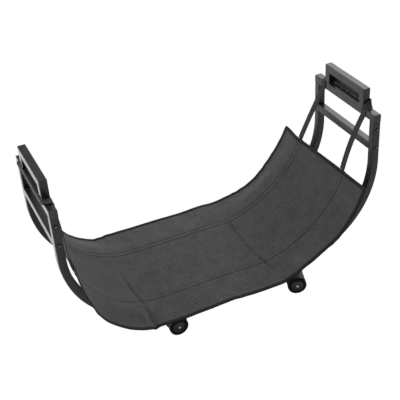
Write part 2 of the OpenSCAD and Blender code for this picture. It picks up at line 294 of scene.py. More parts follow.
def hump(value, middle, reach):
    """1 at the middle, falling smoothly to 0 at reach to either side."""
    return 1 - step(abs(value - middle), 0.0, reach)


# ---------------------------------------------------------------- drawing in edit mode

def square(name, size, place, turned=(0, 0, 0)):
    """A filled square in edit mode with all its points selected."""
    deselect()
    bpy.ops.mesh.primitive_plane_add(size=size, location=place, rotation=turned)
    piece = named(bpy.context.object, name)
    settle(piece)
    edit(piece)
    bpy.ops.mesh.select_mode(type="VERT")
    return piece


def draw(along):
    bpy.ops.mesh.extrude_region_move(TRANSFORM_OT_translate={"value": along})


def drawn_line(name, points):
    """A line of edges through points, left in edit mode."""
    piece = square(name, MM, points[0])
    bpy.ops.mesh.merge(type="CENTER")
    for here, there in zip(points, points[1:]):
        draw(Vector(there) - Vector(here))
    return piece


def drawn_outline(name, points):
    """A closed line of edges, left in edit mode with all of it selected."""
    piece = drawn_line(name, points + points[:1])
    merge_points()
    return piece


def lathe(name, profile, steps):
    """A turned piece about Z at the origin; its profile gives (radius, height) in order."""
    piece = drawn_line(name, [(radius, 0, height) for radius, height in profile])
    select_all()
    bpy.ops.mesh.spin(steps=steps, angle=2 * math.pi, center=(0, 0, 0), axis=(0, 0, 1))
    return face_out(piece)


def plate(name, outline, thickness):
    """A plate from its outline in X and Z, its thickness lying evenly to both sides of Y = 0."""
    piece = drawn_outline(name, [(x, -thickness / 2, z) for x, z in outline])
    bpy.ops.mesh.edge_face_add()
    draw((0, thickness, 0))
    return face_out(piece)


def arc(radius, start, end, steps, middle=(0.0, 0.0)):
    """Places on an arc about a middle, its angles in degrees."""
    angles = [math.radians(start + (end - start) * i / steps) for i in range(steps + 1)]
    return [(middle[0] + radius * math.cos(a), middle[1] + radius * math.sin(a)) for a in angles]


def tube_outline(name, centre, turned=(0, 0, 0), side=TUBE, corner=TUBE_CORNER):
    """A rounded square, filled, in edit mode."""
    piece = square(name, side, centre, turned)
    bpy.ops.mesh.bevel(offset=corner, segments=4, affect="VERTICES")
    select_all()
    return piece


def open_tube(name, centre, turned=(0, 0, 0)):
    """The outline of a square tube, ready to be drawn out, in edit mode."""
    piece = tube_outline(name, centre, turned)
    bpy.ops.mesh.select_mode(type="EDGE")
    bpy.ops.mesh.delete(type="ONLY_FACE")
    select_all()
    return piece


def close_tube(piece):
    """Closes both ends of a tube that has been drawn out."""
    merge_points()
    bpy.ops.mesh.fill_holes(sides=0)
    return face_out(piece)


def straight_tube(name, start, along, turned=(0, 0, 0)):
    piece = open_tube(name, start, turned)
    draw(along)
    return close_tube(piece)


def eased_tube(piece):
    """A tube with its cut ends eased and its faces flat."""
    round_edges(piece, CUT_EDGE, 2, 60)
    return flat_faces_true(piece)


def mitre(piece, place, normal, keep_above):
    """Cuts a tube off along a plane, and closes it there."""
    edit(piece)
    bpy.ops.mesh.bisect(plane_co=place, plane_no=normal, use_fill=True,
                        clear_inner=keep_above, clear_outer=not keep_above)
    face_out(piece)


# ---------------------------------------------------------------- finishes

SHEEN_ROUGHNESS = 0.45
# The colour sockets of a Mix node, which has others for other kinds of value.
MIX_AMOUNT, MIX_FIRST, MIX_SECOND, MIX_RESULT = 0, 6, 7, 2
# Nearly all of the noise lies between these two.
NOISE_RANGE = (0.3, 0.7)


class Value:
    """A shader socket that takes part in arithmetic."""

    def __init__(self, nodes, socket):
        self.nodes = nodes
        self.socket = socket

    def _with(self, operation, *others):
        return self.nodes.add("ShaderNodeMath", {"operation": operation}, [self, *others])

    def __add__(self, other):
        return self._with("ADD", other)

    def __sub__(self, other):
        return self._with("SUBTRACT", other)

    def __rsub__(self, other):
        return self.nodes.add("ShaderNodeMath", {"operation": "SUBTRACT"}, [other, self])

    def __mul__(self, other):
        return self._with("MULTIPLY", other)

    def sine(self):
        return self._with("SINE")

    def absolute(self):
        return self._with("ABSOLUTE")

    def above(self, other):
        """1 where this is greater than the other, 0 elsewhere."""
        return self._with("GREATER_THAN", other)


class Nodes:
    """A node tree whose nodes are added by type, with their settings and the values of their sockets."""

    def __init__(self, tree):
        self.tree = tree

    def feed(self, socket, value):
        if isinstance(value, Value):
            self.tree.links.new(value.socket, socket)
        else:
            socket.default_value = value

    def add(self, kind, settings=None, inputs=(), out=0):
        node = self.tree.nodes.new(kind)
        for key, value in (settings or {}).items():
            setattr(node, key, value)
        pairs = inputs.items() if isinstance(inputs, dict) else enumerate(inputs)
        for key, value in pairs:
            self.feed(node.inputs[key], value)
        return Value(self, node.outputs[out])

    def place(self, output="Object"):
        """Where a point is: in the frame that all pieces share, or another output, such as its UV map."""
        return self.add("ShaderNodeTexCoord", out=output)

    def parts(self, vector):
        """The X, Y and Z of a vector."""
        node = self.tree.nodes.new("ShaderNodeSeparateXYZ")
        self.feed(node.inputs[0], vector)
        return [Value(self, socket) for socket in node.outputs]

    def stretched(self, vector, scale):
        return self.add("ShaderNodeVectorMath", {"operation": "MULTIPLY"}, [vector, scale])

    def speckle(self, vector, scale, detail=2.0, roughness=0.5):
        """Cloudy noise about 0.5, with about as many patches to a metre as its scale says."""
        return self.add("ShaderNodeTexNoise", {"noise_dimensions": "3D"},
                        {"Vector": vector, "Scale": scale, "Detail": detail, "Roughness": roughness})

    def remap(self, value, low, high, new_low, new_high, kind="LINEAR"):
        """Takes low to new_low and high to new_high, and holds those beyond."""
        return self.add("ShaderNodeMapRange", {"clamp": True, "interpolation_type": kind},
                        [value, low, high, new_low, new_high])

    def ramp(self, value, start, full, amount):
        """0 at the start, rising smoothly to the amount where it is full."""
        return self.remap(value, start, full, 0.0, amount, "SMOOTHSTEP")

    def fade(self, value, start, gone):
        """1 at the start, falling smoothly to 0 where it is gone."""
        return self.remap(value, start, gone, 1.0, 0.0, "SMOOTHSTEP")

    def varied(self, speckles, low, high):
        """Noise spread over the values between low and high."""
        return self.remap(speckles, *NOISE_RANGE, low, high)

    def mix_colour(self, amount, first, second):
        """The first colour where the amount is 0, the second where it is 1."""
        node = self.tree.nodes.new("ShaderNodeMix")
        node.data_type = "RGBA"
        self.feed(node.inputs[MIX_AMOUNT], amount)
        self.feed(node.inputs[MIX_FIRST], first)
        self.feed(node.inputs[MIX_SECOND], second)
        return Value(self, node.outputs[MIX_RESULT])


class Finish(Nodes):
    """A material: its constants are set on the shader; its pattern feeds colour, roughness and bump."""

    def __init__(self, name, roughness, specular=0.5, metallic=0.0, sheen=0.0):
        self.material = bpy.data.materials.new(name)
        self.material.use_nodes = True
        super().__init__(self.material.node_tree)
        self.surface = self.tree.nodes["Principled BSDF"]
        self.surface.inputs["Roughness"].default_value = roughness
        self.surface.inputs["Specular IOR Level"].default_value = specular
        self.surface.inputs["Metallic"].default_value = metallic
        self.surface.inputs["Sheen Weight"].default_value = sheen
        self.surface.inputs["Sheen Roughness"].default_value = SHEEN_ROUGHNESS

    def colour(self, value):
        self.feed(self.surface.inputs["Base Color"], value)

    def roughness(self, value):
        self.feed(self.surface.inputs["Roughness"], value)

    def mottle(self, pattern, dark, light, smoothest, roughest):
        """Colour and roughness that both follow a pattern."""
        self.colour(self.mix_colour(pattern, dark, light))
        self.roughness(self.varied(pattern, smoothest, roughest))

    def relief(self, height, distance, strength):
        """Bump whose height, from 0 to 1, stands for distance in metres."""
        bump = self.add("ShaderNodeBump", {},
                        {"Height": height, "Distance": distance, "Strength": strength})
        self.feed(self.surface.inputs["Normal"], bump)

    def grain(self, vector, scale, distance, strength):
        """A fine raised grain, with about as many grains to a metre as its scale says."""
        self.relief(self.speckle(vector, scale, detail=1.0), distance, strength)


def grey(level, blue=1.0):
    """A grey, a little cooler where blue is above 1."""
    return (level, level, level * blue, 1.0)


def powder_coat():
    """Satin black powder coat: fine orange peel, with softly varying gloss."""
    coat = Finish("satin_powder_coat", roughness=0.4, specular=0.3)
    place = coat.place()
    cloudy = coat.speckle(place, 38.0, detail=3.0)
    coat.mottle(cloudy, grey(0.006, 1.02), grey(0.011, 1.02), 0.25, 0.32)
    coat.grain(place, 900.0, 0.06 * MM, 0.5)
    return coat.material


def moulded(name, level, roughness, specular=0.35, grains=1400.0):
    """Moulded plastic with a fine spark-eroded grain."""
    plastic = Finish(name, roughness, specular)
    place = plastic.place()
    plastic.mottle(plastic.speckle(place, 60.0), grey(level * 0.85), grey(level * 1.15),
                   roughness - 0.05, roughness + 0.05)
    plastic.grain(place, grains, 0.04 * MM, 0.4)
    return plastic.material


def bare_steel(name, level, roughness):
    """Plated or bright steel with faint machining marks."""
    steel = Finish(name, roughness, metallic=1.0)
    marks = steel.speckle(steel.stretched(steel.place(), (300.0, 300.0, 3000.0)), 1.0)
    steel.mottle(marks, grey(level * 0.85), grey(level * 1.1), roughness - 0.06, roughness + 0.06)
    steel.relief(marks, 0.02 * MM, 0.3)
    return steel.material


# How far from a bolt's middle its head carries a painted highlight, and where that has faded into painted
# shade.
CROWN_R = 1.8 * MM
RIM_R = 3.9 * MM


def black_oxide():
    """Blackened steel with a painted highlight on the crown of each bolt head and painted shade round its
    rim; the crown is also smoother.
    """
    steel = Finish("black_oxide", roughness=0.26, specular=0.12)
    place = steel.place()
    along, _, up = steel.parts(place)
    aside = along.absolute() - LEG_X
    crown = 0.0
    for bolt_z in (UPPER_BOLT_Z, LOWER_BAR_Z):
        above = up - bolt_z
        away = aside * aside + above * above
        crown = steel.fade(away, CROWN_R ** 2, RIM_R ** 2) + crown
    # A painted highlight on each head's crown, and painted shade round its rim.
    crown_highlight = crown * steel.varied(steel.speckle(place, 500.0, detail=3.0), 0.75, 1.0)
    steel.colour(steel.mix_colour(crown_highlight, grey(0.001), grey(0.14)))
    steel.roughness(steel.remap(crown, 0.0, 1.0, 0.5, 0.24))
    steel.grain(place, 900.0, 0.03 * MM, 0.3)
    return steel.material


def tyre_rubber():
    """Soft matt rubber, dull from scuffing on its tread."""
    rubber = Finish("tyre_rubber", roughness=0.6, specular=0.12)
    place = rubber.place()
    rubber.mottle(rubber.speckle(place, 260.0, detail=3.0), grey(0.002), grey(0.006), 0.5, 0.7)
    rubber.grain(place, 1500.0, 0.05 * MM, 0.5)
    return rubber.material


# ---------------------------------------------------------------- the sling's folds, seams and weave

# Two folds across the sling. Each gives its run in the middle, its lean and its bow from there outwards,
# half the width of its crest, how high the crest is and how dark the painted shade in its lee, and the
# places between which the fold fades out towards the rear and towards the front.
FOLDS = ({"run": RUN_AT_X0 + 105.5 * MM, "lean": 0.028, "bow": 0.7, "reach": 6 * MM,
          "crest": 1.0, "dark": 0.6, "rear": (70 * MM, 115 * MM), "front": (-110 * MM, -165 * MM)},
         {"run": RUN_AT_X0 - 236 * MM, "lean": -0.045, "bow": 0.0, "reach": 8 * MM,
          "crest": 0.25, "dark": 0.3, "rear": (-60 * MM, 60 * MM), "front": (-300 * MM, -400 * MM)})
# A full fold's height, and how many patches to a metre it varies in. Left of its crest is a hollow: half
# its width, as a share of the fold's reach, and its depth, as a share of the height.
FOLD_HEIGHT = 2.6 * MM
FOLD_PATCH = 18.0
HOLLOW_REACH = 1.15
HOLLOW_DEPTH = 0.8
# The painted shade line in a fold's lee: how far left of the crest it lies, as a share of the reach, half
# the width of its darkest part, the patches to a metre in which it breaks up, the noise between which they
# fade, and how much is left of the line between them.
FOLD_LEE = 0.65
FOLD_CORE = 0.5 * MM
LEE_BREAKUP_PATCH = 60.0
LEE_BREAKUP_RANGE = (0.35, 0.65)
LEE_BREAKUP_LEAST = 0.1
# How far a row of stitches is from the middle of its webbing, the rows that pucker the cloth, how far to
# either side of its row a pucker and its painted shade are full and where they end, and its depth in
# heights of the weave.
SEAM_OFFSET = WEBBING_WIDTH / 2 - 2.5 * MM
SEAM_ROWS = (-WEBBING_Y - SEAM_OFFSET, WEBBING_Y - SEAM_OFFSET, WEBBING_Y + SEAM_OFFSET)
SEAM_CORE = 0.7 * MM
SEAM_WIDTH = 1.8 * MM
SEAM_DEPTH = 2.0
# Painted shade darkens the cloth towards both ends, as in the photo: the run where that starts, the run
# where it is full, and how much of the painted shade's grey is mixed in there.
DARK_ENDS = ((0.30, 0.08, 0.42), (0.6, 0.85, 0.2))
# The grey of the painted shade at the sling's ends and in the lee of its folds.
PAINTED_SHADE_GREY = 0.012
# The grey of the painted shade in the puckered rows of stitches.
SEAM_SHADE_GREY = 0.004


def seam_band(cloth, across):
    """1 along the rows of stitches whose pucker shows, 0 elsewhere: it presses the cloth in and carries
    painted shade.
    """
    band = 0.0
    for row in SEAM_ROWS:
        band = cloth.fade((across - row).absolute(), SEAM_CORE, SEAM_WIDTH) + band
    return band


def fold_lee_shade(cloth, across, along):
    """The painted shade along each fold's lee, broken up unevenly, and 0 away from the folds."""
    band = 0.0
    for fold in FOLDS:
        dark_run = fold["run"] - FOLD_LEE * fold["reach"]
        line = across * fold["lean"] + across * across * fold["bow"] + dark_run
        # Painted shade along the lee of this fold.
        mark = cloth.fade((along - line).absolute(), FOLD_CORE, fold["reach"]) * fold["dark"]
        for fades in (fold["rear"], fold["front"]):
            mark = mark * cloth.fade(across, *fades)
        band = mark + band
    lee_breakup = cloth.speckle(cloth.place("UV"), LEE_BREAKUP_PATCH)
    return band * cloth.remap(lee_breakup, *LEE_BREAKUP_RANGE, LEE_BREAKUP_LEAST, 1.0)


def painted_shade_colour(cloth, colour, across, along):
    """The sling's colour with painted shade at its ends and along its folds."""
    # Painted shade towards both ends of the sling.
    ends = 0.0
    for start, full, amount in DARK_ENDS:
        ends = cloth.ramp(along, start, full, amount) + ends
    colour = cloth.mix_colour(ends, colour, grey(PAINTED_SHADE_GREY))
    return cloth.mix_colour(fold_lee_shade(cloth, across, along), colour, grey(PAINTED_SHADE_GREY))


def woven(name, dark, light, thread, sheen, relief=0.18 * MM, seamed=False):
    """A plain weave: threads of the given width over and under, in metres of the cloth's own UV map.

    Where it is seamed, it also has painted shade at the sling's ends, along its folds and in its puckered
    rows of stitches, which are pressed in by bump as well.
    """
    cloth = Finish(name, roughness=0.88, specular=0.2, sheen=sheen)
    flat = cloth.place("UV")
    across, along, _ = cloth.parts(flat)
    turn = math.pi / thread
    weft = (across * turn).sine()
    warp = (along * turn).sine()
    over = (weft * warp).above(0.0)
    bumps = (weft * weft) * over + (warp * warp) * (1.0 - over)
    cloud = cloth.speckle(flat, 26.0, detail=5.0, roughness=0.7)
    mottle = cloth.speckle(flat, 170.0, detail=3.0, roughness=0.65)
    slubs = cloth.speckle(cloth.stretched(flat, (700.0, 70.0, 1.0)), 1.0)
    tone = cloud * 0.3 + mottle * 0.4 + slubs * 0.15 + bumps * 0.15
    colour = cloth.mix_colour(cloth.remap(tone, 0.36, 0.64, 0.0, 1.0), dark, light)
    height = bumps * 0.6 + slubs * 0.2 + mottle * 0.2
    if seamed:
        seam = seam_band(cloth, across)
        colour = painted_shade_colour(cloth, colour, across, along)
        # Painted shade in the puckered rows of stitches.
        colour = cloth.mix_colour(seam, colour, grey(SEAM_SHADE_GREY))
        height = height - seam * SEAM_DEPTH
    cloth.colour(colour)
    cloth.relief(height, relief, 0.8)
    return cloth.material


# From one rib of the webbing to the next, and from one pick.
RIB = 1.6 * MM
PICK = 1.1 * MM


def webbing_finish():
    """Black webbing: ribs across it and a finer row of picks along it."""
    tape = Finish("woven_webbing", roughness=0.75, specular=0.2, sheen=0.05)
    flat = tape.place("UV")
    across, along, _ = tape.parts(flat)
    ribs = (along * (math.pi / RIB)).sine().absolute()
    picks = (across * (math.pi / PICK)).sine().absolute()
    cloud = tape.speckle(flat, 60.0, detail=3.0)
    tape.colour(tape.mix_colour(ribs * 0.5 + cloud * 0.5, grey(0.005), grey(0.020)))
    tape.relief(ribs * picks, 0.35 * MM, 0.8)
    return tape.material


# ---------------------------------------------------------------- one finish of each kind

POWDER_COAT = powder_coat()
CAP_PLASTIC = moulded("cap_plastic", 0.016, 0.5)
CASTER_PLASTIC = moulded("caster_plastic", 0.022, 0.6, 0.12)
HUB_PLASTIC = moulded("hub_plastic", 0.032, 0.3, 0.4)
BLACK_OXIDE = black_oxide()
ZINC = bare_steel("zinc_plate", 0.5, 0.3)
BRIGHT_STEEL = bare_steel("bright_steel", 0.8, 0.2)
TYRE = tyre_rubber()
CLOTH = woven("sling_weave", grey(0.020, 1.02), grey(0.055, 1.02), 0.9 * MM, 0.08, seamed=True)
TAPE = woven("binding_weave", grey(0.002), grey(0.009), 0.6 * MM, 0.02, 0.1 * MM)
WEBBING = webbing_finish()
THREAD = moulded("sewing_thread", 0.006, 0.6, 0.3, 3000.0)


# ---------------------------------------------------------------- square tube

LYING_ACROSS = (math.radians(90), 0, 0)


def painted(piece, node):
    """Finishes a piece of the frame that takes the place of a node."""
    finish_piece(piece, POWDER_COAT, "frame", [node])


def quarter_bend(centre):
    bpy.ops.mesh.spin(steps=48, angle=math.pi / 2, center=centre, axis=(0, 1, 0))


def bent_rail(name, y):
    """One length of tube: down a leg, round a bend, along the bottom, round a bend and up a leg."""
    piece = open_tube(name, (-LEG_X, y, LEG_TOP))
    draw((0, 0, BEND_Z - LEG_TOP))
    quarter_bend((-BEND_X, y, BEND_Z))
    draw((2 * BEND_X, 0, 0))
    quarter_bend((BEND_X, y, BEND_Z))
    draw((0, 0, LEG_TOP - BEND_Z))
    return eased_tube(close_tube(piece))


def rails():
    for name, y in (("front_rail", -RAIL_Y), ("rear_rail", RAIL_Y)):
        painted(bent_rail(f"{name}_tube", y), name)


def crossbars():
    """At each end a top crossbar, a lower crossbar and a beam for the casters, all straight tubes."""
    for side in ("left", "right"):
        for bar in ("top_crossbar", "lower_crossbar", "caster_beam"):
            low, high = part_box(f"{side}_{bar}")
            start = ((low.x + high.x) / 2, low.y, (low.z + high.z) / 2)
            piece = straight_tube(f"{side}_{bar}_tube", start, (0, high.y - low.y, 0), LYING_ACROSS)
            painted(eased_tube(piece), f"{side}_{bar}")


WELD_SIZE = 1.7 * MM
WELD_PITCH = 1.1 * MM
WELD_SWELL = 1.16


def weld_bead(place, along):
    """A low bead with the scales that a welder's steps leave."""
    deselect()
    bpy.ops.mesh.primitive_circle_add(vertices=10, radius=WELD_SIZE, location=place,
                                      rotation=(0, math.pi / 2, 0))
    piece = bpy.context.object
    settle(piece)
    edit(piece)
    steps = round(along / WELD_PITCH)
    for i in range(steps):
        draw((along / steps, 0, 0))
        swell = WELD_SWELL if i % 2 else 1 / WELD_SWELL
        middle = (place[0] + along * (i + 1) / steps, place[1], place[2])
        bpy.ops.transform.resize(value=(1, swell, swell), center_override=middle)
    piece = close_tube(piece)
    smooth(piece, 60)
    return piece


def handle(side):
    """Two posts and a grip, mitred at the corners and welded on the top crossbar."""
    low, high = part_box(f"{side}_handle")
    x = (low.x + high.x) / 2
    foot = FRAME_TOP - TUBE_CORNER
    parts = []
    grip = straight_tube("grip", (x, low.y, high.z - TUBE / 2), (0, high.y - low.y, 0), LYING_ACROSS)
    for end in (-1, 1):
        post = straight_tube("post", (x, end * (high.y - TUBE / 2), foot), (0, 0, high.z - foot))
        corner = (x, end * high.y, high.z)
        mitre(post, corner, (0, -end, 1), keep_above=False)
        mitre(grip, corner, (0, -end, 1), keep_above=True)
        parts.append(eased_tube(post))
        for face in (0, 1):
            start = (x - TUBE / 2 + TUBE_CORNER, end * (high.y - face * TUBE), FRAME_TOP)
            parts.append(weld_bead(start, TUBE - 2 * TUBE_CORNER))
    parts.append(eased_tube(grip))
    painted(joined(f"{side}_handle_tube", parts), f"{side}_handle")


# ---------------------------------------------------------------- caps, bolts and nuts

CAP_EDGE = 0.5 * MM
PLUG_SLACK = 0.2 * MM
PLUG_LENGTH = 3 * MM


def end_cap():
    """A moulded cap on a tube end that faces -Y: an eased plate with a plug behind it."""
    piece = tube_outline("end_cap", (0, 0, 0), LYING_ACROSS)
    draw((0, -CAP_T, 0))
    round_edges(face_out(piece), CAP_EDGE, 3, 60)
    plug = tube_outline("plug", (0, 0, 0), LYING_ACROSS, TUBE - 2 * TUBE_WALL - PLUG_SLACK, MM)
    draw((0, PLUG_LENGTH, 0))
    return flat_faces_true(joined("end_cap", [piece, face_out(plug)]))


def tube_caps():
    """A cap on each end of the top crossbars and of the caster beams."""
    cap = end_cap()
    for name, node, x, z in (("crossbar_end_caps", "top_crossbar_caps", LEG_X, FRAME_TOP - TUBE / 2),
                             ("beam_end_caps", "beam_caps", BEAM_X, BEAM_Z)):
        caps = four_as_one(cap, name, x, HALF_DEPTH - CAP_T, z)
        finish_piece(caps, CAP_PLASTIC, "frame", [node])
    discard(cap)


# A hexagon's size over its flats, as a share of that over its corners.
FLAT_TO_CORNER = math.cos(math.radians(30))
HEAD_R = 5.25 * MM
HEAD_H = 3.3 * MM
HEAD_RIM = 0.5 * MM
SOCKET_R = 2.0 * MM / FLAT_TO_CORNER
SOCKET_DEPTH = 2.0 * MM
SHANK_R = 3.0 * MM
ROOT_R = SHANK_R * 0.86
TIP_R = SHANK_R * 0.8
THREADED = 8 * MM
THREAD_PITCH = 1.0 * MM
BOLT_EDGE = 0.15 * MM
# The nut's size, the radius to which its ends are turned down, and how steeply they are.
NUT_FLATS = 10 * MM
NUT_H = 6 * MM
NUT_FACE_R = NUT_FLATS / 2 * 0.97
NUT_TURNED = 0.6
UPPER_BOLT_LENGTH = TUBE + 7 * MM
CROSSBAR_BOLT_LENGTH = TUBE + 18 * MM


def button_bolt(name, length):
    """A button-head bolt along +Y from a face at Y = 0, with a hexagon socket and a threaded tip."""
    rise = HEAD_H - HEAD_RIM
    dome_r = (HEAD_R ** 2 + rise ** 2) / (2 * rise)
    widest = math.degrees(math.asin(HEAD_R / dome_r))
    dome = arc(dome_r, 90, 90 - widest, 8, (0.0, HEAD_H - dome_r))
    profile = dome + [(HEAD_R, 0), (SHANK_R, 0)]
    threads = round(THREADED / THREAD_PITCH)
    start = -length + threads * THREAD_PITCH
    for i in range(threads):
        at = start - i * THREAD_PITCH
        profile += [(SHANK_R, at), (ROOT_R, at - THREAD_PITCH / 2)]
    profile += [(TIP_R, -length), (0, -length)]
    piece = lathe(name, profile, 40)
    deselect()
    bpy.ops.mesh.primitive_cylinder_add(vertices=6, radius=SOCKET_R, depth=2 * SOCKET_DEPTH,
                                        location=(0, 0, HEAD_H))
    cut(piece, bpy.context.object)
    tip(piece, math.pi / 2)
    round_edges(piece, BOLT_EDGE, 2, 50)
    smooth(piece, 35)
    return piece


def hexagon_nut():
    """A nut on +Y from a face at Y = 0, its corners turned down at both ends."""
    corner_r = NUT_FLATS / 2 / FLAT_TO_CORNER
    deselect()
    bpy.ops.mesh.primitive_cylinder_add(vertices=6, radius=corner_r, depth=NUT_H,
                                        location=(0, 0, NUT_H / 2))
    piece = named(bpy.context.object, "nut")
    settle(piece)
    widest = corner_r + 0.02 * MM
    down = (widest - NUT_FACE_R) * NUT_TURNED
    turning = lathe("turning", [(0, 0), (NUT_FACE_R, 0), (widest, down), (widest, NUT_H - down),
                                (NUT_FACE_R, NUT_H), (0, NUT_H)], 48)
    cut(piece, turning, "INTERSECT")
    tip(piece, -math.pi / 2)
    smooth(piece, 25)
    return piece


def fasteners():
    """Two bolts at each end of each rail, and a nut on each upper one at the rail's inner face."""
    upper_bolt = button_bolt("upper_bolt", UPPER_BOLT_LENGTH)
    crossbar_bolt = button_bolt("crossbar_bolt", CROSSBAR_BOLT_LENGTH)
    for master, name, node, y, z in (
            (upper_bolt, "upper_button_bolts", "upper_bolts", HALF_DEPTH, UPPER_BOLT_Z),
            (crossbar_bolt, "crossbar_button_bolts", "crossbar_bolts", HALF_DEPTH, LOWER_BAR_Z),
            (hexagon_nut(), "upper_hexagon_nuts", "upper_bolt_nuts", RAIL_INNER_Y, UPPER_BOLT_Z)):
        four = four_as_one(master, name, LEG_X, y, z)
        finish_piece(four, BLACK_OXIDE, "frame", [node])
        discard(master)


# ---------------------------------------------------------------- casters

joints = {joint["name"]: joint for joint in frame["record"]["behaviour"]["joints"]}
CORNERS = ("front_left", "front_right", "rear_left", "rear_right")
WHEEL_R = joints["front_left_outer_roll"]["pos_m"][2]
TRAIL = joints["front_left_outer_roll"]["pos_m"][0] - joints["front_left_swivel"]["pos_m"][0]
hub_low, hub_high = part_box("rear_left_inner_hub")
HUB_R = (hub_high.x - hub_low.x) / 2
tyre_low, tyre_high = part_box("rear_left_outer_tyre")
WHEEL_W = tyre_high.y - tyre_low.y
WHEEL_INNER_Y = tyre_low.y - RAIL_Y
HOOD_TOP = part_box("front_left_hood")[1].z
WEB_W = 12 * MM
AXLE_R = 3 * MM
CHEEK_R = 10 * MM
# The fender's radius inside, its wall, the degrees round the axle where it starts and ends, and its
# section: the bead along each side, the bead's easing and the dip between the beads.
FENDER_R = WHEEL_R + 1.2 * MM
FENDER_T = 2 * MM
FENDER_FROM = 40
FENDER_TO = 165
FENDER_BEAD = 1.6 * MM
FENDER_EASE = 0.6 * MM
FENDER_DIP = 0.7 * MM
FENDER_EDGE = 0.35 * MM
WEB_EDGE = 0.8 * MM
# The neck's radius, how far it flares at its foot, how high the flare is, and the easing of its top.
# Heights in the caster's body count from the axle.
NECK_R = 8.5 * MM
NECK_FLARE = 2.6 * MM
NECK_FLARE_H = 4 * MM
NECK_EASE = 0.8 * MM


def caster_fender():
    """The arched cover over both wheels, bent about the axle, with a bead along each side."""
    half = WHEEL_INNER_Y + WHEEL_W
    outside = FENDER_R + FENDER_T
    far_side = [(half, FENDER_R), (half, outside - FENDER_EASE), (half - FENDER_EASE, outside),
                (half - FENDER_BEAD, outside), (half - 2 * FENDER_BEAD, outside - FENDER_DIP)]
    near_side = [(-y, r) for y, r in reversed(far_side)]
    section = near_side[-1:] + far_side + near_side[:-1]
    start = math.radians(FENDER_FROM)
    piece = drawn_outline("fender", [(r * math.cos(start), y, r * math.sin(start)) for y, r in section])
    bpy.ops.mesh.spin(steps=40, angle=math.radians(FENDER_TO - FENDER_FROM),
                      center=(0, 0, 0), axis=(0, 1, 0))
    close_tube(piece)
    round_edges(piece, FENDER_EDGE, 2, 50)
    return flat_faces_true(piece)


def caster_web():
    """The body between the wheels: a cheek round the axle that fills the space under the fender."""
    over = FENDER_R + FENDER_T / 2
    outline = arc(over, FENDER_FROM, FENDER_TO, 20) + arc(CHEEK_R, 190, 350, 14)
    piece = plate("web", outline, WEB_W)
    round_edges(piece, WEB_EDGE, 3, 50)
    return flat_faces_true(piece)


def caster_neck():
    """The boss that takes the stem, flared where it meets the fender."""
    low = WHEEL_R * 0.55
    top = HOOD_TOP - WHEEL_R
    flare_foot = FENDER_R * 0.62
    flare = [(NECK_R + NECK_FLARE * (1 - math.sin(t)), flare_foot + NECK_FLARE_H * (1 - math.cos(t)))
             for t in (math.radians(18 * i) for i in range(6))]
    tip = [(NECK_R, top - NECK_EASE), (NECK_R - NECK_EASE, top), (0, top)]
    piece = lathe("neck", [(0, low), (NECK_R, low)] + flare + tip, 48)
    piece.location.x = -TRAIL
    settle(piece)
    return flat_faces_true(piece)


def caster_hood():
    """A caster's body with its stem on Z and its axle a trail away along +X."""
    piece = joined("hood", [caster_fender(), caster_web(), caster_neck()])
    piece.location = (TRAIL, 0, WHEEL_R)
    settle(piece)
    return piece


def wheel_hub():
    """A hub facing +Y from its inner face: a broad dome, a narrow groove and a raised lip.

    The dome's radius, its rise over the face and its fall towards its rim are in mm.
    """
    face = WHEEL_W
    dome_r, rise, fall = 11.5, 1.3, 1.9
    dome = [(r * MM, face + (rise - fall * (r / dome_r) ** 2) * MM) for r in (0, 2, 4, 6, 8, 10, dome_r)]
    groove = face - 1.3 * MM
    dish = [(11.8 * MM, groove), (12.4 * MM, groove), (12.6 * MM, face)]
    raised = face + 0.2 * MM
    lip = [(12.9 * MM, raised), (HUB_R - 0.9 * MM, raised), (HUB_R, face - 0.6 * MM)]
    rim = [(HUB_R, 0.3 * MM), (HUB_R - 0.3 * MM, 0), (HUB_R - 3 * MM, 0)]
    hollow = face - 5 * MM
    boss = [(HUB_R - 3.6 * MM, hollow), (AXLE_R + 3.6 * MM, hollow), (AXLE_R + 3 * MM, 0)]
    bore, bore_end = AXLE_R + 0.2 * MM, face - 3 * MM
    back = rim + boss + [(bore, 0), (bore, bore_end), (0, bore_end)]
    piece = lathe("hub", dome + dish + lip + back, 64)
    tip(piece, -math.pi / 2)
    return flat_faces_true(piece)


def axle_end():
    """The turned-over steel end that shows in the middle of a hub, facing +Y from the hub's dome."""
    low = WHEEL_W + 1.0 * MM
    profile_mm = [(0, 0.6), (1.3, 0.55), (2.4, 0.4), (3.1, 0.1), (3.3, -0.2), (3.3, -1.5), (0, -1.5)]
    piece = lathe("axle_end", [(r * MM, low + h * MM) for r, h in profile_mm], 32)
    tip(piece, -math.pi / 2)
    smooth(piece, 60)
    return piece


def wheel_tyre():
    """A tyre facing +Y from its inner face, with full shoulders and three shallow tread lines."""
    shoulder = 3.5 * MM
    groove, groove_half, floor_half = WHEEL_R - 0.4 * MM, 0.45 * MM, 0.2 * MM
    tread = []
    for at in (0.38, 0.5, 0.62):
        middle = WHEEL_W * at
        tread += [(WHEEL_R, middle - groove_half), (groove, middle - floor_half),
                  (groove, middle + floor_half), (WHEEL_R, middle + groove_half)]
    low = arc(shoulder, 270, 360, 8, (WHEEL_R - shoulder, shoulder))
    high = arc(shoulder, 0, 90, 8, (WHEEL_R - shoulder, WHEEL_W - shoulder))
    bore = HUB_R + 0.02 * MM
    wall = [(bore + 1.2 * MM, WHEEL_W), (bore + 0.6 * MM, WHEEL_W - 0.4 * MM),
            (bore, WHEEL_W - 0.7 * MM), (bore, 0)]
    outline = low + tread + high + wall
    piece = lathe("tyre", outline + outline[:1], 72)
    tip(piece, -math.pi / 2)
    return flat_faces_true(piece)


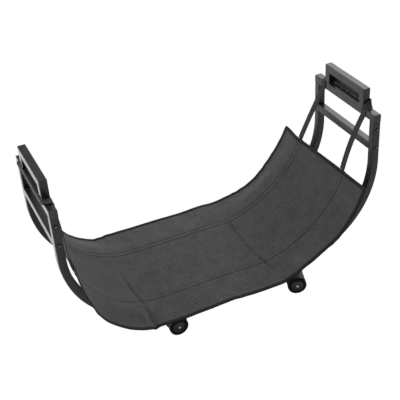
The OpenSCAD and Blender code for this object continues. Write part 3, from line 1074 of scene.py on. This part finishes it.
def wheels_on(corner, hub, tyre, end):
    """Both wheels of a caster, each turned to face outwards along its own axle."""
    outwards = 1 if "rear" in corner else -1
    for side, facing in (("outer", outwards), ("inner", -outwards)):
        roll = joints[f"{corner}_{side}_roll"]
        along = Vector(roll["axis"]) * facing
        turn = math.atan2(-along.x, along.y)
        place = Vector(roll["pos_m"]) + along * WHEEL_INNER_Y
        body = f"{corner}_{side}_wheel"
        new_hub = placed_copy(hub, f"{body}_hub", place, turn)
        finish_piece(new_hub, HUB_PLASTIC, body, [f"{corner}_{side}_hub"])
        finish_piece(placed_copy(end, f"{body}_axle_end", place, turn), BRIGHT_STEEL, body)
        new_tyre = placed_copy(tyre, f"{body}_tyre", place, turn)
        finish_piece(new_tyre, TYRE, body, [f"{corner}_{side}_tyre"])


def casters():
    """The four casters, each turned the way its axle lies from its stem."""
    hood, hub, tyre, end = caster_hood(), wheel_hub(), wheel_tyre(), axle_end()
    for corner in CORNERS:
        swivel = Vector(joints[f"{corner}_swivel"]["pos_m"])
        trail = Vector(joints[f"{corner}_outer_roll"]["pos_m"]) - swivel
        turn = math.atan2(trail.y, trail.x)
        copy = placed_copy(hood, f"{corner}_caster_hood", (swivel.x, swivel.y, 0), turn)
        finish_piece(copy, CASTER_PLASTIC, f"{corner}_caster", [f"{corner}_hood"])
        wheels_on(corner, hub, tyre, end)
    for master in (hood, hub, tyre, end):
        discard(master)


# ---------------------------------------------------------------- the sling's surface

# How far each side of the right end lies inside the plain curve, or outside it where negative, over the
# sling's last stretch.
END_DROOP = {"front": 4 * MM, "rear": -14 * MM}
DROOP_RUN = 190 * MM
# How much further along the curve the right end's front corner reaches, and how much less far its rear
# corner, over a longer stretch.
END_SKEW = 8 * MM
SKEW_RUN = 300 * MM
# How far each loose edge stands off the plain curve, in mm, at runs along the sling, in mm.
EDGE_LINE = {
    "front": [(0, -6), (60, -6), (80, -8), (100, -11), (140, -13), (190, -13), (230, -12), (260, -11),
              (285, -5), (320, -2.5), (400, -1.5), (445, 1), (465, 2), (495, -1), (530, -2.5), (600, -3),
              (640, -1), (680, 6), (725, 7), (745, 5), (765, 0), (785, -3), (860, -2), (926, -1.5)],
    "rear": [(0, 0), (120, 0), (150, -7), (175, -11), (205, -13), (245, -13), (262, -8), (285, -1),
             (320, 2), (360, 1.5), (420, 0.5), (500, -1), (575, 1.5), (600, 0.5), (640, -3), (665, -7),
             (690, -12.5), (720, -17), (745, -18), (780, -13.5), (805, -8.5), (840, -4), (880, -2),
             (926, -1)],
}
# The strip along each edge that follows its edge line in full, and the height and number to a metre of
# the loose edges' own waves.
EDGE_BAND = 8 * MM
EDGE_WAVE = 2.2 * MM
EDGE_WAVES_TO_METRE = 11.0
# The cloth has settled between the rails: not at all at the first distance from a rail, in full from the
# second on. About one run at the left bend it sags further.
SETTLED = 1.8 * MM
SETTLED_NONE = 4 * MM
SETTLED_FULL = 60 * MM
LEFT_SAG = 4 * MM
LEFT_SAG_RUN = 180 * MM
LEFT_SAG_REACH = 110 * MM
# Soft waves in the cloth: about how many to a metre along the sling and across it, a depth in the noise,
# and their height in mm.
WAVES = ((6.0, 8.0, 1.7, 1.3), (19.0, 15.0, 5.2, 0.7))


def sling_line(run):
    """Where the sling's underside is, and its slope, at a run from its left end."""
    if run < LEFT_RUN:
        slope = (LEFT_RUN - run) / LEFT_RADIUS
        return (LEFT_TURN_X - LEFT_RADIUS * math.sin(slope),
                LEFT_TURN_Z - LEFT_RADIUS * math.cos(slope), -slope)
    if run < LEFT_RUN + FLAT_RUN:
        return LEFT_TURN_X + run - LEFT_RUN, SLING_Z, 0.0
    slope = FIRST_SLOPE + (run - LEFT_RUN - FLAT_RUN) / RIGHT_RADIUS
    return (RIGHT_TURN_X + RIGHT_RADIUS * math.sin(slope),
            RIGHT_TURN_Z - RIGHT_RADIUS * math.cos(slope), slope)


def edge_line(run, side):
    """How far a loose edge stands off the plain curve at a run."""
    for (run_a, off_a), (run_b, off_b) in zip(EDGE_LINE[side], EDGE_LINE[side][1:]):
        if run <= run_b * MM:
            break
    return (off_a + (off_b - off_a) * step(run, run_a * MM, run_b * MM)) * MM


def fold_marks(run, y):
    """The two folds that the sling keeps from being packed flat: a crest with a hollow beside it."""
    marks = 0.0
    for fold in FOLDS:
        line = fold["run"] + fold["lean"] * y + fold["bow"] * y * y
        hollow = HOLLOW_REACH * fold["reach"]
        crest = fold["crest"] * hump(run, line, fold["reach"])
        crest -= HOLLOW_DEPTH * hump(run, line - hollow, hollow)
        uneven = 1.0 + noise.noise(Vector((y * FOLD_PATCH, fold["run"], 2.3)))
        fading = (1 - step(y, *fold["rear"])) * (1 - step(y, *fold["front"]))
        marks += FOLD_HEIGHT * crest * uneven * fading
    return marks


def ripple(run, y):
    """How far the cloth stands off its plain shape: soft waves, sag, folds and loose edges."""
    waves = sum(noise.noise(Vector((run * along, y * across, depth))) * height * MM
                for along, across, depth, height in WAVES)
    between_rails = 1 - step(abs(y), RAIL_INNER_Y - SETTLED_FULL, RAIL_INNER_Y - SETTLED_NONE)
    left_sag = LEFT_SAG * hump(run, LEFT_SAG_RUN, LEFT_SAG_REACH)
    waves += fold_marks(run, y) - (SETTLED + left_sag) * between_rails
    edge = step(abs(y), HALF_DEPTH, SLING_HALF_WIDTH)
    edge_place = Vector((run * EDGE_WAVES_TO_METRE, math.copysign(3.0, y), 0.4))
    waves += edge * EDGE_WAVE * noise.noise(edge_place)
    over_rail = hump(abs(y), RAIL_Y, TUBE)
    waves = waves * (1 - over_rail) + max(waves, 0.0) * over_rail
    at_end = step(run, SLING_LENGTH - DROOP_RUN, SLING_LENGTH)
    side = "rear" if y > 0 else "front"
    waves += edge_line(run, side) * step(abs(y), HALF_DEPTH, SLING_HALF_WIDTH - EDGE_BAND)
    return waves + END_DROOP[side] * at_end * step(abs(y), WEBBING_Y, SLING_HALF_WIDTH)


def sling_point(run, y, height):
    """A point on the sling, height above its underside."""
    at_end = step(run, SLING_LENGTH - SKEW_RUN, SLING_LENGTH)
    x, z, slope = sling_line(run - END_SKEW * (y / SLING_HALF_WIDTH) * at_end)
    off = height + ripple(run, y)
    return Vector((x - math.sin(slope) * off, y, z + math.cos(slope) * off))


def sling_normal(run, side):
    """The way a side of the sling faces at a run: side is 1 for its top and -1 for its underside."""
    _, _, slope = sling_line(min(max(run, 0.0), SLING_LENGTH))
    return Vector((-math.sin(slope), 0, math.cos(slope))) * side


# ---------------------------------------------------------------- sling cloth

# The cloth's thickness, how far it ends inside the binding's edge, and how high its middle lies over the
# sling's underside.
CLOTH_T = 1.3 * MM
CLOTH_HEM = 2.0 * MM
CLOTH_MIDDLE = 1.2 * MM
CLOTH_PITCH = 4 * MM


def sling_cloth():
    """The cloth itself, a grid over the sling's surface that is then given its thickness."""
    runs = spread(CLOTH_HEM, SLING_LENGTH - CLOTH_HEM, CLOTH_PITCH)
    ys = spread(-SLING_HALF_WIDTH + CLOTH_HEM, SLING_HALF_WIDTH - CLOTH_HEM, CLOTH_PITCH)
    points = [sling_point(run, y, CLOTH_MIDDLE) for run in runs for y in ys]
    wide = len(ys)
    faces = [(i * wide + j, i * wide + j + 1, (i + 1) * wide + j + 1, (i + 1) * wide + j)
             for i in range(len(runs) - 1) for j in range(wide - 1)]
    piece = piece_from("sling_fabric", points, faces)
    sheet_map = piece.data.uv_layers.new(name="cloth")
    for loop in piece.data.loops:
        i, j = divmod(loop.vertex_index, wide)
        sheet_map.data[loop.index].uv = (ys[j], runs[i])
    thick = piece.modifiers.new("thickness", "SOLIDIFY")
    thick.thickness = CLOTH_T
    thick.offset = 0.0
    apply_modifiers(piece)
    smooth(piece, 60)
    return finish_piece(piece, CLOTH, "frame", ["sling_cloth"])


# ---------------------------------------------------------------- binding and stitches

# The binding's width on each side and the tape's thickness, the radius of the sheet's corners and the
# least that a ring nearer the middle has, and the steps along the edge and round a corner.
BINDING_W = 10 * MM
TAPE_T = 0.9 * MM
SHEET_CORNER = 7 * MM
LEAST_CORNER = 0.3 * MM
BINDING_PITCH = 3 * MM
CORNER_STEPS = 5


def places_on_arc(corner, radius):
    """Places round one of the sheet's corners."""
    run, y, start, _ = corner
    return arc(radius, start, start + 90, CORNER_STEPS, (run, y))


def around_sheet(inset):
    """Places (run, y) round the sheet's edge, set in from it, with rounded corners.

    Every inset gives the same count of places, so that rings at two insets pair up.
    """
    low_run, high_run = inset, SLING_LENGTH - inset
    low_y, high_y = -SLING_HALF_WIDTH + inset, SLING_HALF_WIDTH - inset
    radius = max(SHEET_CORNER - inset, LEAST_CORNER)
    long_count = round(SLING_LENGTH / BINDING_PITCH)
    short_count = round(2 * SLING_HALF_WIDTH / BINDING_PITCH)
    corners = [(high_run - radius, low_y + radius, -90, long_count),
               (high_run - radius, high_y - radius, 0, short_count),
               (low_run + radius, high_y - radius, 90, long_count),
               (low_run + radius, low_y + radius, 180, short_count)]
    places = []
    for index, corner in enumerate(corners):
        before = places_on_arc(corners[index - 1], radius)[-1]
        around = places_on_arc(corner, radius)
        count = corner[3]
        places.extend((before[0] + (around[0][0] - before[0]) * i / count,
                       before[1] + (around[0][1] - before[1]) * i / count) for i in range(1, count))
        places.extend(around)
    return places


def binding_section():
    """The folded tape's section as (inset, height) from the sheet's middle: out, round and back."""
    inner = CLOTH_T / 2 + 0.05 * MM
    outer = inner + TAPE_T
    top = [(BINDING_W, inner), (BINDING_W + 0.1 * MM, (inner + outer) / 2), (BINDING_W - 0.3 * MM, outer),
           (BINDING_W * 0.78, outer - 0.15 * MM), (BINDING_W * 0.45, outer + 0.35 * MM),
           (1.6 * MM, outer + 0.1 * MM)]
    fold = [(0.45 * MM, outer * 0.72), (0.0, 0.0), (0.45 * MM, -outer * 0.72)]
    under = [(inset, -height) for inset, height in reversed(top)]
    back = [(1.4 * MM, -inner), (1.2 * MM, 0.0), (1.4 * MM, inner)]
    return top + fold + under + back


def sling_binding():
    """The tape folded over the sling's edge all round."""
    section = binding_section()
    rings = [around_sheet(inset) for inset, _ in section]
    count = len(rings[0])
    points = []
    for (_, height), ring in zip(section, rings):
        points.extend(sling_point(run, y, CLOTH_MIDDLE + height) for run, y in ring)
    faces, maps = [], []
    from_girth = 0.0
    for a in range(len(section)):
        b = (a + 1) % len(section)
        to_girth = from_girth + math.hypot(section[b][0] - section[a][0], section[b][1] - section[a][1])
        for i in range(count):
            j = (i + 1) % count
            here, there = i * BINDING_PITCH, (i + 1) * BINDING_PITCH
            faces.append((a * count + i, b * count + i, b * count + j, a * count + j))
            maps.append([(from_girth, here), (to_girth, here), (to_girth, there), (from_girth, there)])
        from_girth = to_girth
    piece = piece_from("sling_edge_binding", points, faces)
    map_faces(piece, maps)
    face_out(piece)
    smooth(piece, 60)
    return finish_piece(piece, TAPE, "frame", ["sling_binding"])


THREAD_R = 0.38 * MM
STITCH = 3.0 * MM
STITCH_GAP = 0.8 * MM
THREAD_SIDES = 5
# The rings of a stitch: how far along it, how high, and how thick, the last two in thread radii.
STITCH_RINGS = ((0.0, -0.5, 0.55), (0.2, 0.25, 1.0), (0.8, 0.25, 1.0), (1.0, -0.5, 0.55))
TAPE_SEAM = BINDING_W * 0.8


def one_stitch(start, along, side, normal, base):
    """Points and faces of one thread from its start, its points counted on from base."""
    vertices, faces = [], []
    for t, rise, size in STITCH_RINGS:
        centre = start + along * STITCH * t + normal * THREAD_R * rise
        for k in range(THREAD_SIDES):
            angle = 2 * math.pi * k / THREAD_SIDES
            vertices.append(centre + (side * math.cos(angle) + normal * math.sin(angle)) * THREAD_R * size)
    last = base + (len(STITCH_RINGS) - 1) * THREAD_SIDES
    for low in range(base, last, THREAD_SIDES):
        high = low + THREAD_SIDES
        faces.extend((low + k, low + (k + 1) % THREAD_SIDES, high + (k + 1) % THREAD_SIDES, high + k)
                     for k in range(THREAD_SIDES))
    faces.append(tuple(base + k for k in reversed(range(THREAD_SIDES))))
    faces.append(tuple(last + k for k in range(THREAD_SIDES)))
    return vertices, faces


def stitch_row(points, normals):
    """Points and faces of a row of short threads along a line, each dipping in at its ends."""
    vertices, faces = [], []
    travelled, next_start = 0.0, 0.0
    for here, there, normal in zip(points, points[1:], normals):
        span = (there - here).length
        along = (there - here).normalized()
        side = along.cross(normal).normalized()
        while next_start + STITCH / 2 <= travelled + span:
            start = here + along * (next_start - travelled)
            new_vertices, new_faces = one_stitch(start, along, side, normal, len(vertices))
            vertices.extend(new_vertices)
            faces.extend(new_faces)
            next_start += STITCH + STITCH_GAP
        travelled += span
    return vertices, faces


def stitched(name, lines):
    """One piece of many stitches: each line is (places, height, side) on the sling."""
    vertices, faces = [], []
    for places, height, side in lines:
        points = [sling_point(run, y, height) for run, y in places]
        normals = [sling_normal(run, side) for run, _ in places]
        new_vertices, new_faces = stitch_row(points, normals)
        base = len(vertices)
        vertices.extend(new_vertices)
        faces.extend(tuple(base + v for v in face) for face in new_faces)
    piece = piece_from(name, vertices, faces)
    face_out(piece)
    smooth(piece, 80)
    return finish_piece(piece, THREAD, "frame")


def sling_stitching():
    """The seam of the binding, on both sides of the sling, and the seams of the webbing on its top."""
    on_tape = CLOTH_T / 2 + TAPE_T
    ring = around_sheet(TAPE_SEAM)
    ring.append(ring[0])
    both_sides = [(ring, CLOTH_MIDDLE + side * on_tape, side) for side in (1, -1)]
    edge = stitched("binding_stitches", both_sides)
    runs = spread(BINDING_W, SLING_LENGTH - BINDING_W, BINDING_PITCH)
    rows = [([(run, side * WEBBING_Y + offset) for run in runs], CLOTH_MIDDLE + CLOTH_T / 2, 1)
            for side in (-1, 1) for offset in (-SEAM_OFFSET, SEAM_OFFSET)]
    return [edge, stitched("webbing_stitches", rows)]


# ---------------------------------------------------------------- webbing

def webbing_section():
    """Half-rounded selvedges and a flat middle, as (width, thickness) round the section."""
    half_w, half_t = WEBBING_WIDTH / 2, WEBBING_T / 2
    top = [(-half_w + half_t * 0.4, half_t * 0.8), (-half_w + half_t, half_t)]
    top += [(half_w * t, half_t * 0.94) for t in (-0.6, -0.2, 0.2, 0.6)]
    top += [(half_w - half_t, half_t), (half_w - half_t * 0.4, half_t * 0.8)]
    return [(-half_w, 0)] + top + [(half_w, 0)] + [(w, -h) for w, h in reversed(top)]


def webbing_points(section, route):
    """The section set up at every station of a route, and how far along the route each station is."""
    points, lengths = [], [0.0]
    last = len(route) - 1
    for i, (here, across) in enumerate(route):
        ahead = (route[min(i + 1, last)][0] - route[max(i - 1, 0)][0]).normalized()
        broader = across.length
        across = (across - ahead * across.dot(ahead)).normalized()
        normal = ahead.cross(across)
        points.extend(here + across * w * broader + normal * h for w, h in section)
        if i:
            lengths.append(lengths[-1] + (here - route[i - 1][0]).length)
    return points, lengths


def webbing_faces(section, lengths):
    """Faces along the webbing and over its ends, and where each one's corners lie on the flat tape."""
    size = len(section)
    last = len(lengths) - 1
    faces, maps = [], []
    for i in range(last):
        for k in range(size):
            m = (k + 1) % size
            faces.append((i * size + k, i * size + m, (i + 1) * size + m, (i + 1) * size + k))
            maps.append([(section[k][0], lengths[i]), (section[m][0], lengths[i]),
                         (section[m][0], lengths[i + 1]), (section[k][0], lengths[i + 1])])
    for ring, order in ((0, range(size)), (last, reversed(range(size)))):
        faces.append(tuple(ring * size + k for k in order))
        maps.append([(section[v % size][0], lengths[ring]) for v in faces[-1]])
    return faces, maps


def webbing(name, route):
    """Flat webbing along a route of (centre, the way its width lies).

    A width longer than 1 makes the webbing look broader there, as where it is folded askew.
    """
    section = webbing_section()
    points, lengths = webbing_points(section, route)
    faces, maps = webbing_faces(section, lengths)
    piece = piece_from(name, points, faces)
    map_faces(piece, maps)
    face_out(piece)
    smooth(piece, 50)
    return piece


WEBBING_PITCH = 6 * MM
STRAP_STEPS = 8
ROUTE_STEPS = 6


def sling_webbing():
    """The two lengths of webbing that are sewn under the sling."""
    made = []
    for side, sign in (("front", -1), ("rear", 1)):
        route = [(sling_point(run, sign * WEBBING_Y, SEWN_MIDDLE), Vector((0, 1, 0)))
                 for run in spread(0.0, SLING_LENGTH, WEBBING_PITCH)]
        piece = webbing(f"{side}_sewn_webbing", route)
        made.append(finish_piece(piece, WEBBING, "frame", [f"{side}_sling_webbing"]))
    return made


def eased_route(stations):
    """A smooth route through stations, each a centre and the way the width lies there.

    Between two stations the route weighs them and the ones before and after, so that it bends evenly.
    """
    route = []
    last = len(stations) - 1
    for i in range(last):
        around = [stations[min(max(i + k, 0), last)] for k in (-1, 0, 1, 2)]
        for k in range(ROUTE_STEPS):
            t = k / ROUTE_STEPS
            weights = ((2 * t - 1 - t * t) * t / 2, (3 * t - 5) * t * t / 2 + 1,
                       (4 * t - 3 * t * t + 1) * t / 2, (t - 1) * t * t / 2)
            centre, across = Vector((0, 0, 0)), Vector((0, 0, 0))
            for (station_centre, station_across), weight in zip(around, weights):
                centre += station_centre * weight
                across += station_across * weight
            route.append((centre, across))
    route.append(stations[last])
    return route


# Each station of the fold over a top crossbar: outwards from the crossbar's middle, from the webbing's
# middle towards the handle, up from the crossbar's top, and the way the width lies in the same three
# directions. The webbing turns from lying along the crossbar to standing on its edge behind the handle.
CLEAR = TUBE / 2 + SOFT_GAP + WEBBING_T / 2
OVER = SOFT_GAP + WEBBING_T / 2
CROSSBAR_FOLD = {
    "left": [((-CLEAR, 2 * MM, -14 * MM), (0.0, 1.0, 0.0)),
             ((-CLEAR, 3 * MM, -3 * MM), (0.0, 1.0, 0.0)),
             ((-8 * MM, 4 * MM, OVER + 1 * MM), (-0.12, 1.2, 0.04)),
             ((0.0, 7 * MM, OVER + 2.2 * MM), (-0.3, 1.4, 0.1)),
             ((8 * MM, 12 * MM, OVER + 2.4 * MM), (-0.6, 1.3, 0.25)),
             ((12.2 * MM, 18 * MM, -0.5 * MM), (-0.3, 0.5, 0.95)),
             ((CLEAR + 1.2 * MM, 24 * MM, -4.5 * MM), (0.0, 0.0, 1.0)),
             ((CLEAR + 0.4 * MM, 44 * MM, -6.5 * MM), (0.0, 0.0, 1.0))],
    "right": [((-CLEAR, 11 * MM, -16 * MM), (0.0, 1.0, 0.0)),
              ((-CLEAR - 0.2 * MM, 10 * MM, -4 * MM), (0.0, 1.0, 0.0)),
              ((-9 * MM, 7 * MM, OVER + 1.5 * MM), (-0.2, 1.0, 0.25)),
              ((-3 * MM, 4.5 * MM, OVER + 5 * MM), (-0.3, 0.9, 0.6)),
              ((4.5 * MM, 5.5 * MM, OVER + 8 * MM), (-0.3, 0.6, 1.0)),
              ((11 * MM, 9.5 * MM, OVER + 9 * MM), (-0.1, 0.2, 1.0)),
              ((CLEAR + 3 * MM, 18 * MM, OVER + 8 * MM), (0.0, 0.0, 1.0)),
              ((CLEAR + 0.8 * MM, 34 * MM, 7.4 * MM), (0.0, 0.0, 1.0)),
              ((CLEAR + 0.4 * MM, 60 * MM, 7.4 * MM), (0.0, 0.0, 1.0))],
}
# For each end, and its front (-1) and rear (1) strap: how far the strap bows out on its way up, and how
# far inside the sewn webbing's line it starts. The band across behind the handle sags in its middle.
BOW = {("left", -1): 2 * MM, ("left", 1): 2 * MM, ("right", -1): -5 * MM, ("right", 1): -1.5 * MM}
STRAP_IN = {("left", -1): 1 * MM, ("left", 1): 1 * MM, ("right", -1): 8 * MM, ("right", 1): -6 * MM}
BAND_SAG = {"left": 2 * MM, "right": 0.0}
BAND_PITCH = 15 * MM


def half_loop(side, row):
    """Stations of a carry loop from the sling's end, over the crossbar and to behind the handle.

    row is -1 for the front strap and 1 for the rear one.
    """
    sign = -1 if side == "left" else 1
    end_run = 0.0 if side == "left" else SLING_LENGTH
    fold = [(Vector((sign * (LEG_X + out), row * (WEBBING_Y - inwards), FRAME_TOP + up)),
             Vector((sign * width[0], -row * width[1], width[2])))
            for (out, inwards, up), width in CROSSBAR_FOLD[side]]
    start = sling_point(end_run, row * (WEBBING_Y - STRAP_IN[side, row]), SEWN_MIDDLE)
    rise = fold[0][0] - start
    sideways = Vector((rise.z, 0, -rise.x)).normalized() * BOW[side, row]
    strap = [(start + rise * t + sideways * math.sin(math.pi * t), Vector((0, -row, 0)))
             for t in (i / STRAP_STEPS for i in range(STRAP_STEPS))]
    return strap + fold


def carry_loop(side):
    """One length of webbing: up from the sling, over the crossbar, behind the handle and down again."""
    front, rear = half_loop(side, -1), half_loop(side, 1)
    end, _ = front[-1]
    band = []
    for y in spread(end.y, -end.y, BAND_PITCH)[1:-1]:
        sag = BAND_SAG[side] * math.cos(math.pi / 2 * y / end.y)
        band.append((Vector((end.x, y, end.z - sag)), Vector((0, 0, 1))))
    piece = webbing(f"{side}_carry_loop", eased_route(front + band + rear[::-1]))
    return finish_piece(piece, WEBBING, "frame", [f"{side}_carry_webbing"])


# ---------------------------------------------------------------- the solids that stay

SMALL_EDGE = 0.2 * MM


def paint_nodes():
    """Gives every solid its finish, and eases the edges of those that show."""
    by_slot = {"frame_paint": POWDER_COAT, "cap_plastic": CAP_PLASTIC, "bolt_steel": BLACK_OXIDE,
               "zinc_steel": ZINC, "sling_cloth": CLOTH, "binding_tape": TAPE, "webbing": WEBBING,
               "caster_plastic": CASTER_PLASTIC, "hub_plastic": HUB_PLASTIC, "tyre": TYRE}
    slots = {part["node"]: part["material_slot"] for part in frame["record"]["subparts"]}
    for name, node in frame["nodes"].items():
        node.data.materials.clear()
        node.data.materials.append(by_slot[slots[name]])
        if not node.hide_render:
            smooth(node, 30)
            bevel_edges(node, SMALL_EDGE, 2, 50)


# ---------------------------------------------------------------- camera, light and floor

CAMERA_AZIMUTH = math.radians(-22.616)
CAMERA_ELEVATION = math.radians(33.453)
CAMERA_ROLL = math.radians(-4.243)
CAMERA_DISTANCE = 1.830
CAMERA_TARGET = Vector((-0.12252, -0.25798, FRAME_TOP))
CAMERA_LENS = 77.073


def photo_camera():
    """The camera that the photo was taken with, as fitted to the frame's corners in the photo."""
    back = Vector((math.sin(CAMERA_AZIMUTH) * math.cos(CAMERA_ELEVATION),
                   -math.cos(CAMERA_AZIMUTH) * math.cos(CAMERA_ELEVATION), math.sin(CAMERA_ELEVATION)))
    right = (-back).cross(Vector((0, 0, 1))).normalized()
    up = right.cross(-back)
    rolled_right = right * math.cos(CAMERA_ROLL) + up * math.sin(CAMERA_ROLL)
    rolled_up = up * math.cos(CAMERA_ROLL) - right * math.sin(CAMERA_ROLL)
    bpy.ops.object.camera_add(location=CAMERA_TARGET + back * CAMERA_DISTANCE)
    camera = bpy.context.object
    camera.rotation_euler = Matrix((rolled_right, rolled_up, back)).transposed().to_euler()
    camera.data.lens = CAMERA_LENS
    camera.data.sensor_width = 36.0
    camera.data.clip_end = 50.0
    bpy.context.scene.camera = camera


# The two lights: where each is, as a direction, and how strong. A light's soft edge starts where the
# cosine of the angle to its middle is the first value, and is over at the second.
RIGHT_LIGHT = (0.77, 0.30, 0.56)
LEFT_LIGHT = (-0.77, 0.30, 0.56)
RIGHT_STRENGTH = 3.5
LEFT_STRENGTH = 2.9
LIGHT_EDGE = (0.6, 0.95)
DIM_LIGHT = 0.2
FLOOR_SIZE = 24
FLOOR_GLOW = 0.97
BACKDROP_LEVEL = 0.35
# The table is paler than the backdrop, and glows left of the cart: from the first X, fully at the second.
TABLE_LEVEL = 0.65
TABLE_GLOW = 0.8
TABLE_GLOW_X = (-0.3, -0.62)


def paper(name, level, glow):
    """White paper that glows, as overexposed paper does in a photo."""
    finish = Finish(name, roughness=0.9, specular=0.05)
    fibres = finish.speckle(finish.place(), 3.0)
    finish.colour(finish.mix_colour(fibres, grey(level * 0.98), grey(level * 1.02)))
    finish.surface.inputs["Emission Color"].default_value = (1, 1, 1, 1)
    finish.surface.inputs["Emission Strength"].default_value = glow
    return finish


def staged(name, finish):
    """Makes the object just added a part of the studio."""
    piece = named(bpy.context.object, name)
    piece.data.materials.append(finish.material)
    return piece


def only_seen(piece):
    """Keeps a part of the studio out of the light, so that it is only a backdrop."""
    piece.visible_diffuse = False
    piece.visible_glossy = False
    piece.visible_shadow = False


def floor_and_wall():
    """A white floor and wall to look at, and a table, not seen, that lights the cart from below."""
    deselect()
    bpy.ops.mesh.primitive_plane_add(size=FLOOR_SIZE, location=(0, 0, 0))
    only_seen(staged("studio_floor", paper("floor_paper", BACKDROP_LEVEL, FLOOR_GLOW)))
    deselect()
    bpy.ops.mesh.primitive_uv_sphere_add(segments=48, ring_count=24, radius=FLOOR_SIZE / 2)
    only_seen(staged("studio_wall", paper("wall_paper", BACKDROP_LEVEL, 1.0)))
    deselect()
    bpy.ops.mesh.primitive_plane_add(size=FLOOR_SIZE, location=(0, 0, 0))
    table = paper("table_paper", TABLE_LEVEL, 1.0)
    along, _, _ = table.parts(table.place())
    bright = table.ramp(along, *TABLE_GLOW_X, TABLE_GLOW)
    table.feed(table.surface.inputs["Emission Color"], table.mix_colour(bright, grey(0.0), grey(1.0)))
    staged("studio_table", table).visible_camera = False


def studio():
    """Soft light all round, with a large soft light behind the cart on either side, over a pale floor."""
    world = bpy.data.worlds.new("soft_studio")
    bpy.context.scene.world = world
    world.use_nodes = True
    sky = Nodes(world.node_tree)
    light = DIM_LIGHT
    for direction, strength in ((RIGHT_LIGHT, RIGHT_STRENGTH), (LEFT_LIGHT, LEFT_STRENGTH)):
        towards = sky.add("ShaderNodeVectorMath", {"operation": "DOT_PRODUCT"},
                          [sky.place("Generated"), direction], out="Value")
        light = sky.ramp(towards, *LIGHT_EDGE, strength) + light
    background = world.node_tree.nodes["Background"]
    background.inputs["Color"].default_value = (1, 1, 1, 1)
    sky.feed(background.inputs["Strength"], light)
    floor_and_wall()
    bpy.context.scene.view_settings.view_transform = "Standard"


# ---------------------------------------------------------------- the cart

photo_camera()
rails()
crossbars()
for end in ("left", "right"):
    handle(end)
tube_caps()
fasteners()
casters()
cloth = sling_cloth()
binding = sling_binding()
stitches = sling_stitching()
straps = sling_webbing()
loops = [carry_loop(end) for end in ("left", "right")]
paint_nodes()
SLING_LENGTH - 2 * CLOTH_HEM
studio()
